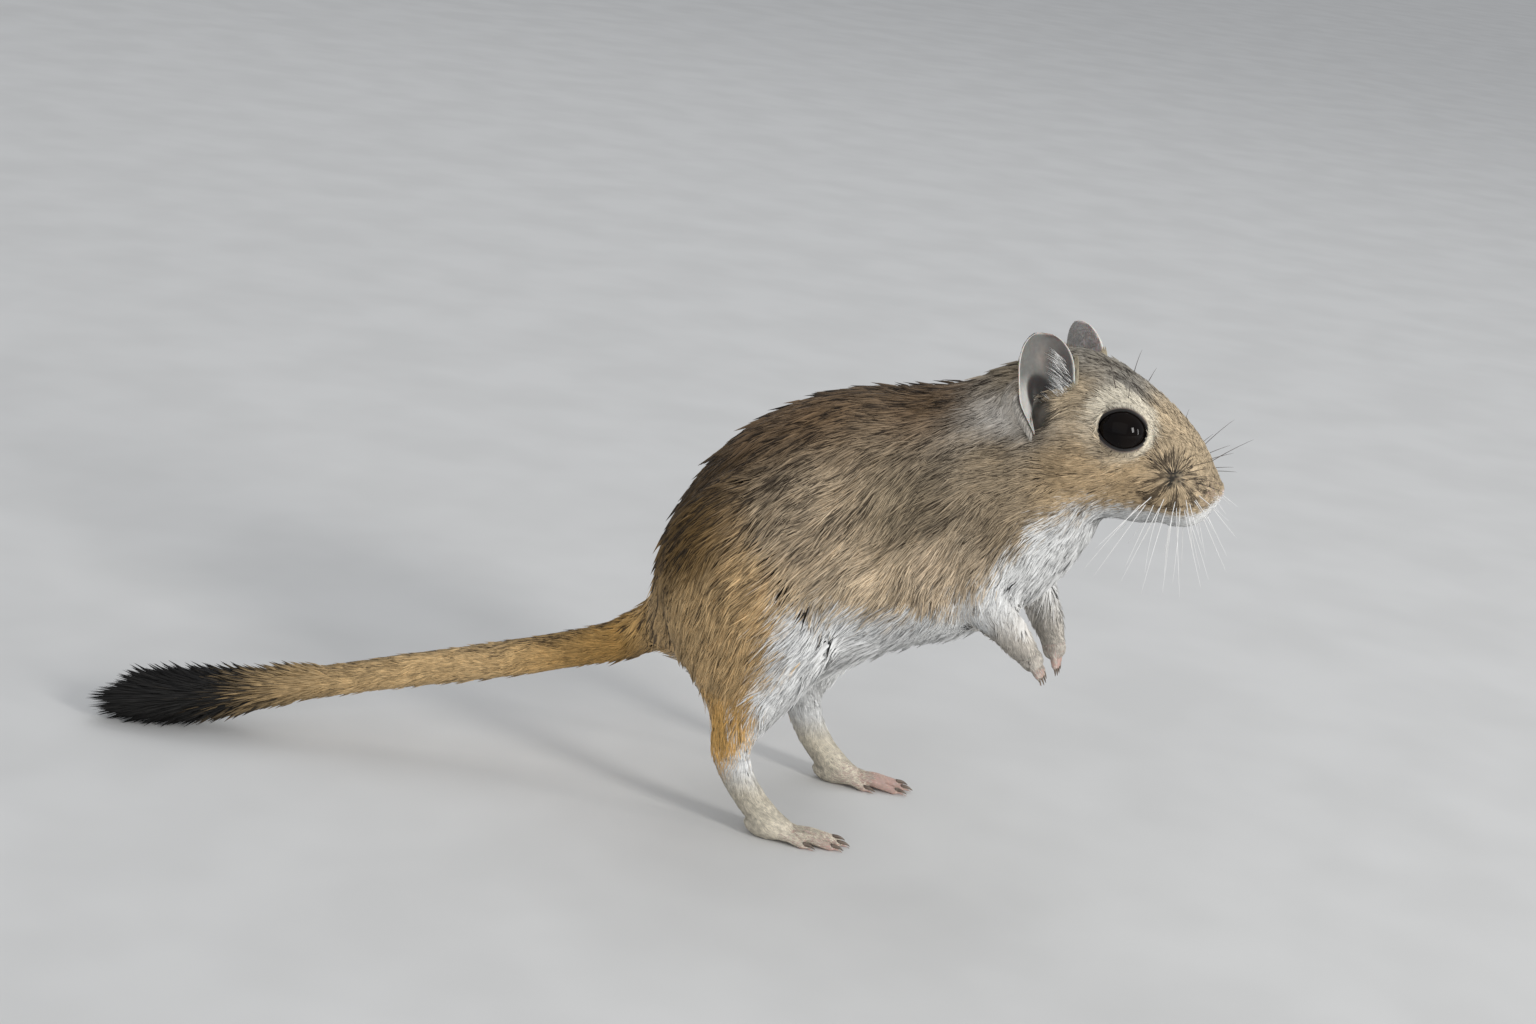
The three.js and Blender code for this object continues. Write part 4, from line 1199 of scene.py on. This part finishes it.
def ear_edge(height, front):
    """How far the ear reaches to its front or rear edge."""
    foot, wide, low, high, turn = np.where(front[:, None], FRONT_EDGE, REAR_EDGE).T
    stalk = foot + (wide - foot) * smoothstep(0, 1, (height - low) / (high - low))
    beyond = np.clip((height - turn) / (1 - turn), 0, 1)
    return stalk * (1 - beyond ** 2.2) ** (1 / 2.1)


def ear_lean(side):
    return posed(unit(sided(EAR["lean"], side)), True)


def ear_surface(side, u, height, lift):
    """A point of the ear: u runs from its rear edge to its front edge, lift is out of the cup."""
    lean = unit(sided(EAR["lean"], side))
    across = unit(sided(EAR["across"], side))
    opening = unit(np.cross(lean, across) * side)
    root = sided(EAR["root"], side) + (EAR["forward"][side], 0, 0)
    reach = ear_edge(height, u > 0)
    spread = u * reach / ear_edge(np.minimum(height, 0.5), u > 0)
    closing = EAR["closing"][side] * smoothstep(0.55, 0.92, height)
    rim = u * u * (1 - closing) + (spread * spread + 0.75 * height ** 6) * closing
    lobe = 0.9 * np.exp(-((u + 0.6) / 0.26) ** 2) * smoothstep(0.52, 0.28, height)
    hollow = 1.0 * np.exp(-((u + 0.05) / 0.3) ** 2 - ((height - 0.40) / 0.12) ** 2)
    canal = 0.9 * np.exp(-((u - 0.05) / 0.2) ** 2) * smoothstep(0.42, 0.3, height)
    ridge = 0.3 * np.exp(-((u - 0.1 - 0.5 * height) / 0.12) ** 2)
    ridge = ridge * smoothstep(0.5, 0.62, height) * smoothstep(0.9, 0.75, height)
    cup = EAR["cup"] * (1 - 0.5 * height)
    depth = cup * (rim - 0.6) + lobe - np.maximum(hollow, canal) + ridge + lift
    place = root + np.outer(height * EAR["height"], lean)
    return posed(place + across * (u * reach)[:, None] + opening * depth[:, None])


def ear_colours(u, height, inner):
    """The ear's colours: grey outside, and inside dark with a pale rear half and rim, and
    painted shade in its hollow and canal.
    """
    rim = smoothstep(0.93, 0.99, np.maximum(np.abs(u), height ** 2))
    if not inner:
        return blend(np.array([0.40, 0.39, 0.37]), (0.66, 0.63, 0.59), rim)
    middle = np.exp(-((u - 0.12) / 0.22) ** 2 - ((height - 0.72) / 0.12) ** 2)
    hollow = ((u + 0.05) / 0.46) ** 2 + ((height - 0.38) / 0.17) ** 2
    canal = smoothstep(0.34, 0.16, np.abs(u - 0.08)) * smoothstep(0.44, 0.36, height)
    colour = np.tile([0.16, 0.158, 0.148], (len(u), 1))
    for share, tone in (
        (0.8 * middle, (0.28, 0.245, 0.215)),
        (smoothstep(-0.2, -0.45, u) * smoothstep(0.6, 0.35, height), (0.46, 0.44, 0.41)),
        (smoothstep(0.35, 0.6, u) * smoothstep(0.95, 0.75, height), (0.10, 0.095, 0.09)),
        # Painted shade in the hollow and the canal
        (smoothstep(1.5, 0.7, hollow), (0.045, 0.04, 0.038)),
        (canal, (0.05, 0.045, 0.04)),
        (rim, (0.72, 0.69, 0.65)),
    ):
        colour = blend(colour, tone, share)
    return colour


def build_ear(word, side, material):
    """A thin cup with a hollow, a pale rim and a lobe at its rear foot."""
    rows, columns = EAR_ROWS, EAR_COLUMNS
    u = np.sin(np.linspace(1, -1, columns) * math.pi / 2)
    bead = 0.07 * smoothstep(0.8, 0.93, np.abs(u)) * (np.abs(u) < 0.999)
    thick = 0.2 * np.sqrt(np.maximum(1 - u ** 4, 0)) + 0.03 + bead
    points, shade = [], []
    for height in np.sin(np.linspace(-0.04, math.pi / 2 * 0.992, rows)):
        level = np.full(columns, height)
        points.append(ear_surface(side, u, level, thick))
        points.append(ear_surface(side, u[::-1], level, -thick[::-1]))
        shade.append(ear_colours(u, level, True))
        shade.append(ear_colours(u[::-1], level, False))
    points = np.concatenate(points)
    count = 2 * columns
    faces = halved(grid_faces(rows, count))
    last = (rows - 1) * count
    for c in range(columns - 1):
        facing = count - 1 - c
        faces.append(np.array([(c + 1, c, facing), (c + 1, facing, facing - 1)]))
        faces.append(np.array([(c, c + 1, facing), (c + 1, facing - 1, facing)]) + last)
    faces = turned_out(points - points.mean(0), np.concatenate(faces))
    mesh = raw_mesh(f"pinna_{word}", points, faces)
    colour_points(mesh, np.concatenate(shade))
    piece = place_piece(mesh, material)
    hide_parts(f"ear_{word}")


def build_ear_hair(word, side, material, draw):
    """Down on the ear's back and rim, and longer hair along its front and rear feet."""
    tufts = Tufts()
    lean = ear_lean(side)

    def some(count, least, extra):
        return least + extra * draw.rand(count)

    def sow(u, height, lift, length, width, tone, bend, edge=0.0):
        """Hair on the ear. bend gives the way of its middle and of its tip, as shares outward,
        upward and inward; edge, how far its blades face outward past the ear's edge."""
        root = ear_surface(side, u, height, lift)
        out = unit(ear_surface(side, u, height, lift + np.sign(lift)) - root)
        inward = unit(ear_surface(side, u - 0.3 * np.sign(u), height, lift) - root)
        ways = [unit(out * a + lean * b + inward * c) for a, b, c in bend]
        middle = root + ways[0] * (length * 0.5)[:, None]
        tip = middle + ways[1] * (length * 0.5)[:, None]
        tone = np.array(tone) * some(len(u), 0.6, 0.6)[:, None]
        places = np.stack([(u + 1.1) / 4.4 + 0.5 * (lift < 0), np.clip(height, 0, 1)], 1)
        tones = (tone * 0.7, tone, tone * 1.1)
        facing = unit(out * (1 - edge) - inward * edge)
        tufts.add(root - out * 0.06, middle, tip, width, (facing, facing, facing), tones, places)

    # The back's short down
    n = 3200
    u = some(n, -0.97, 1.94)
    height = 0.3 + 0.68 * np.sqrt(draw.rand(n))
    short = 0.3 + 0.7 * smoothstep(0.98, 0.7, height)
    sow(u, height, np.full(n, -0.2), some(n, 0.4, 0.4) * short, some(n, 0.05, 0.04),
        (0.50, 0.49, 0.46), ((0.12, 1, 0), (0.0, 1, 0)))
    # The back's foot
    n = 2600
    sow(some(n, -0.95, 1.9), some(n, 0, 0.62), np.full(n, -0.2), some(n, 1.4, 1.2),
        some(n, 0.1, 0.05), (0.72, 0.53, 0.33), ((0.3, 1, 0), (0.05, 1, 0)))
    # The strip in front of the ear
    n = 1900
    sow(some(n, 0.95, 0.1), some(n, 0, 0.62), some(n, -0.2, -0.5), some(n, 1.8, 1.4),
        some(n, 0.10, 0.06), (0.44, 0.38, 0.27), ((0.1, 1, -0.4), (0.1, 1, 0.1)), 0.8)
    # The rear foot
    n = 900
    sow(some(n, -0.9, -0.12), some(n, -0.03, 0.4), some(n, -0.3, -0.6), some(n, 1.2, 0.9),
        some(n, 0.09, 0.05), (0.66, 0.61, 0.54), ((0.2, -0.4, -0.8), (0.1, -0.9, -0.5)), 0.8)
    place_piece(tufts.mesh(f"ear_hair_{word}"), material, smooth=False)


def build_fringe(word, side, material, draw):
    """Fine pale hairs that arch from the front rim over the ear's hollow."""
    count = FRINGE_HAIRS
    lean = ear_lean(side)
    height = 0.10 + 0.66 * draw.rand(count)
    u = 0.55 + 0.4 * draw.rand(count) * smoothstep(1.0, 0.5, height)
    lift = np.full(count, 0.12)
    root = ear_surface(side, u, height, lift)
    out = unit(ear_surface(side, u, height, lift + 1) - root)
    inward = unit(ear_surface(side, u - 0.3, height, lift) - root)
    length = 1.8 + 1.6 * draw.rand(count)
    rise = 0.35 + 0.35 * draw.rand(count)
    share = np.linspace(0, 1, 6)
    arch = np.sin(share * 2.4) / 2.4 * 1.2
    radii = 0.028 * (1 - share) ** 0.7 + 0.008
    bodies = []
    for k in range(count):
        bow = np.outer(arch, out[k]) + np.outer(share, lean * rise[k] + inward[k] * 0.8)
        bodies.append(bent_tube(root[k] + bow * length[k], radii, 3))
    place_piece(raw_mesh(f"ear_fringe_{word}", *merged(bodies)), material)


# Nose
def build_nose(material):
    """A small bare pad with a middle groove and a comma-shaped nostril on each side."""
    points, faces = ball((0, 0, 0), (1, 1, 1), 40, 56)
    points = points[:, [2, 0, 1]]
    x, y, z = points.T
    groove = 0.16 * np.exp(-(y / 0.1) ** 2) * smoothstep(0.2, -0.2, z)
    pits = 0
    for side in SIDES.values():
        aside = (y - side * (0.52 + 0.25 * (z + 0.1))) / 0.17
        pits = pits + 0.42 * np.exp(-aside ** 2 - ((z + 0.02) / 0.26) ** 2)
    front = smoothstep(-0.1, 0.3, x)
    points = points * (1 - (groove + pits) * front)[:, None]
    points = posed(points * (1.55, 1.75, 1.5) + (80.2, 0, 78.2))
    mesh = raw_mesh("nose_pad", points, turned_out(points - points.mean(0), faces))
    # The nostril pits darkened: painted shade inside the nostrils
    dark = np.clip(pits * front * 2.6, 0, 1)
    colour_points(mesh, blend(np.array([0.62, 0.52, 0.48]), (0.05, 0.03, 0.028), dark))
    place_piece(mesh, material)


# Claws
# The ball of the foot out to either side, how far each foot is shifted from there, the way
# the toes point in degrees, and for each toe its root ahead of the ball and outside it, its
# length and its splay
BALL_OF_FOOT = (12, 14.3)
LEG_SHIFT = {"left": (3.2, 4.5), "right": (0, 0)}
TOE_HEADING = 13
TOES = [(1, -2, 5, -14), (2.6, -1.2, 9.4, -6), (3, 0, 10, 0), (2.6, 1.2, 9.4, 6), (1, 2, 6, 13)]
FINGER_WRISTS = {"left": (56, 5.2, 41), "right": (54.3, 6, 41.8)}
FINGER_AIMS = {"left": (0.34, 0, -0.94), "right": (0.66, 0, -0.75)}
FINGER_GAP = 1.5

# Length, radius and drop of the claws
TOE_CLAW = (2.4, 0.38, 0.5)
FINGER_CLAW = (1.5, 0.25, 0.4)


def claw(start, way, length, radius, drop):
    share = np.linspace(0, 1, 9)
    line = start + np.outer(share, way) * length
    line[:, 2] += drop * (0.55 * np.sin(share * math.pi) - share)
    radii = radius * np.clip(1 - share, 0, 1) ** 0.7 + 0.02
    return bent_tube(line, radii, 8, 1.25)


def build_claws(material):
    bodies = []
    turn = math.radians(TOE_HEADING)
    for word, side in SIDES.items():
        shift_x, shift_y = LEG_SHIFT[word]
        for forward, sideways, length, splay in TOES:
            x = forward * math.cos(turn) - sideways * side * math.sin(turn)
            y = forward * math.sin(turn) + sideways * side * math.cos(turn)
            heading = math.radians(TOE_HEADING + splay * side)
            way = np.array([math.cos(heading), math.sin(heading), 0])
            start = (BALL_OF_FOOT[0] + shift_x + x, BALL_OF_FOOT[1] * side + shift_y + y, 0.95)
            bodies.append(claw(start + way * (length + 0.1), way, *TOE_CLAW))
        wrist = sided(FINGER_WRISTS[word], side)
        aim = unit(sided(FINGER_AIMS[word], side))
        for place in (-1.5, -0.5, 0.5, 1.5):
            tip = wrist + aim * (3 - 0.35 * abs(place)) + (0, place * FINGER_GAP, 0)
            bodies.append(claw(tip - aim * 0.1, aim, *FINGER_CLAW))
    place_piece(raw_mesh("claws", *merged(bodies)), material)


# Whiskers
# Each row: how many, the first and last place from the pad's middle (forward, up), the first
# and last way (forward, outward, up), and the shortest and longest length
WHISKERS = {
    "pale": [
        (10, (-4.6, -6.6), (3.6, -6.0), (-0.5, 0.35, -0.8), (0.45, 0.35, -0.8), 11, 16),
        (4, (-3.0, -4.4), (2.6, -4.4), (-0.4, 0.7, -0.6), (0.35, 0.7, -0.6), 13, 17),
        (4, (4.2, -4.2), (5.6, -2.2), (0.55, 0.3, -0.75), (0.85, 0.3, -0.4), 5, 8),
    ],
    "dark": [
        (3, (-2.6, 1.0), (2.6, 0.6), (-0.2, 0.9, 0.45), (0.45, 0.75, 0.4), 13, 17),
        (5, (1.4, 3.4), (4.6, 0.8), (0.55, 0.6, 0.65), (0.85, 0.5, 0.1), 4, 8),
    ],
}

# Each row: a place, the way and the length
BROW_HAIRS = [((61, 6.5, 93), (-0.1, 0.7, 0.7), 8), ((63.5, 6.6, 92), (0.1, 0.75, 0.65), 6.5)]


def whisker(skin, start, way, length, draw):
    """One whisker, rooted on the skin nearest to its start."""
    near, normal, _, _ = skin.tree.find_nearest(posed(start).tolist())
    share = np.linspace(0, 1, 11)
    line = np.array(near) - np.array(normal) * 0.3 + np.outer(share, posed(way, True)) * length
    line[:, 2] -= 0.07 * length * share ** 2
    line[:, 0] += draw.normal(0.02, 0.04) * length * share ** 2
    return bent_tube(line, 0.07 * (1 - share) ** 0.7 + 0.014, 5)


def build_whiskers(skin, shade, material, draw):
    bodies = []
    for side in SIDES.values():
        for count, first, last, first_way, last_way, shortest, longest in WHISKERS[shade]:
            for share in np.linspace(0, 1, count):
                forward, upward = (1 - share) * np.array(first) + share * np.array(last)
                start = sided(WHISKER_PAD + (forward, 0, upward) + draw.normal(0, 0.25, 3), side)
                way = (1 - share) * np.array(first_way) + share * np.array(last_way)
                way = unit(sided(way + draw.normal(0, 0.07, 3), side))
                length = shortest + (longest - shortest) * draw.rand()
                bodies.append(whisker(skin, start, way, length, draw))
        if shade == "dark":
            for place, way, length in BROW_HAIRS:
                start, way = sided(place, side), unit(sided(way, side))
                bodies.append(whisker(skin, start, way, length, draw))
    place_piece(raw_mesh(f"whiskers_{shade}", *merged(bodies)), material)


# Camera, light and floor
CAMERA = {
    "azimuth": 16,
    "elevation": 16.5,
    "roll": 7.5,
    "distance": 474,
    "lens": 60,
    "target": (0, 0, 57),
}

# Each lamp's place and size in metres, its power and its colour
LAMPS = {
    "key": ((1.16, -0.50, 0.52), (0.22, 0.4), 8.6, (1, 0.99, 0.97)),
    "strip": ((1.30, 0.08, 0.26), (0.1, 0.4), 2.2, (1, 0.99, 0.97)),
    "fill": ((0.1, -1.25, 0.75), (1.8, 1.2), 2.4, (0.96, 0.98, 1)),
    "back": ((-0.1, 0.7, 1.2), (0.8, 0.8), 2.2, (0.97, 0.985, 1)),
}
LIT_PLACE = (0.0, 0.0, 0.06)
SKY = (0.92, 0.95, 1, 1)
SKY_STRENGTH = 0.55
FLOOR_RADIUS = 4000


def build_camera():
    azimuth, elevation, roll = (math.radians(CAMERA[k]) for k in ("azimuth", "elevation", "roll"))
    back = Vector((
        math.sin(azimuth) * math.cos(elevation),
        -math.cos(azimuth) * math.cos(elevation),
        math.sin(elevation),
    ))
    level_right = Vector((math.cos(azimuth), math.sin(azimuth), 0))
    level_up = back.cross(level_right)
    right = level_right * math.cos(roll) + level_up * math.sin(roll)
    upward = level_up * math.cos(roll) - level_right * math.sin(roll)
    data = bpy.data.cameras.new("camera")
    data.lens = CAMERA["lens"]
    data.sensor_width = 36
    data.clip_start = 0.01
    data.clip_end = 20
    camera = placed("camera", data)
    place = Vector(to_frame(CAMERA["target"])) + back * CAMERA["distance"] * MM
    turn = Matrix((right, upward, back)).transposed().to_4x4()
    camera.matrix_world = Matrix.Translation(place) @ turn
    bpy.context.scene.camera = camera


def build_light():
    for name, (place, size, power, colour) in LAMPS.items():
        data = bpy.data.lights.new(name, "AREA")
        data.shape = "RECTANGLE"
        data.size, data.size_y = size
        data.energy = power
        data.color = colour
        light = placed(name, data)
        light.location = place
        turn = (Vector(place) - Vector(LIT_PLACE)).to_track_quat("Z", "Y")
        light.rotation_euler = turn.to_euler()
    world = bpy.data.worlds.new("studio")
    world.use_nodes = True
    sky = world.node_tree.nodes["Background"]
    sky.inputs["Color"].default_value = SKY
    sky.inputs["Strength"].default_value = SKY_STRENGTH
    bpy.context.scene.world = world
    bpy.context.scene.view_settings.view_transform = "Standard"


def build_floor(material):
    turns = full_turn(64)
    points = np.stack([np.cos(turns), np.sin(turns), np.zeros(64)], 1) * FLOOR_RADIUS
    mesh = raw_mesh("floor", points, np.arange(64)[None])
    mesh.materials.append(material)
    placed("floor", mesh)


draw = np.random.RandomState(SEED)
fur = painted_material("fur", 900, 0.02, 0.62, specular=0.22, sheen=0.06)
bare = painted_material("bare_skin", 1500, 0.05, 0.55, specular=0.35, subsurface=0.15)
ear_skin = painted_material("ear_skin", 1200, 0.05, 0.55, specular=0.3, subsurface=0.3)
tuft_fur = painted_material("tuft_fur", 900, 0.02, 0.5, specular=0.3)
eye_gloss = plain_material(
    "eye_gloss", (0.003, 0.002, 0.002), (0.006, 0.004, 0.003), 300, 0.03, specular=0.11)
horn = plain_material("horn", (0.12, 0.09, 0.07), (0.2, 0.155, 0.12), 800, 0.35, specular=0.4)
whisker_pale = plain_material("whisker_pale", (0.92, 0.91, 0.89), (0.85, 0.84, 0.81), 300, 0.4)
whisker_dark = plain_material("whisker_dark", (0.05, 0.04, 0.035), (0.09, 0.07, 0.06), 300, 0.4)
floor_paper = plain_material(
    "floor_paper", (0.66, 0.655, 0.64), (0.7, 0.695, 0.68), 30, 0.9, specular=0.1)

skin = Skin()
skin_mesh = raw_mesh("skin", skin.points, skin.faces)
colour_points(skin_mesh, skin_colours(skin))
skin_piece = place_piece(skin_mesh, bare)
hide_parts(*flesh_names())
for coat, nodes in COATS.items():
    grow_coat(skin, coat, nodes, fur, draw)
build_tuft(tuft_fur, draw)
for word, side in SIDES.items():
    build_eye(word, side, eye_gloss)
    build_lids(word, side, bare)
    build_lid_hair(word, side, fur, draw)
    build_ear(word, side, ear_skin)
    build_ear_hair(word, side, fur, draw)
    build_fringe(word, side, whisker_pale, draw)
build_nose(bare)
build_claws(horn)
build_whiskers(skin, "pale", whisker_pale, draw)
build_whiskers(skin, "dark", whisker_dark, draw)
build_floor(floor_paper)
build_light()
build_camera()
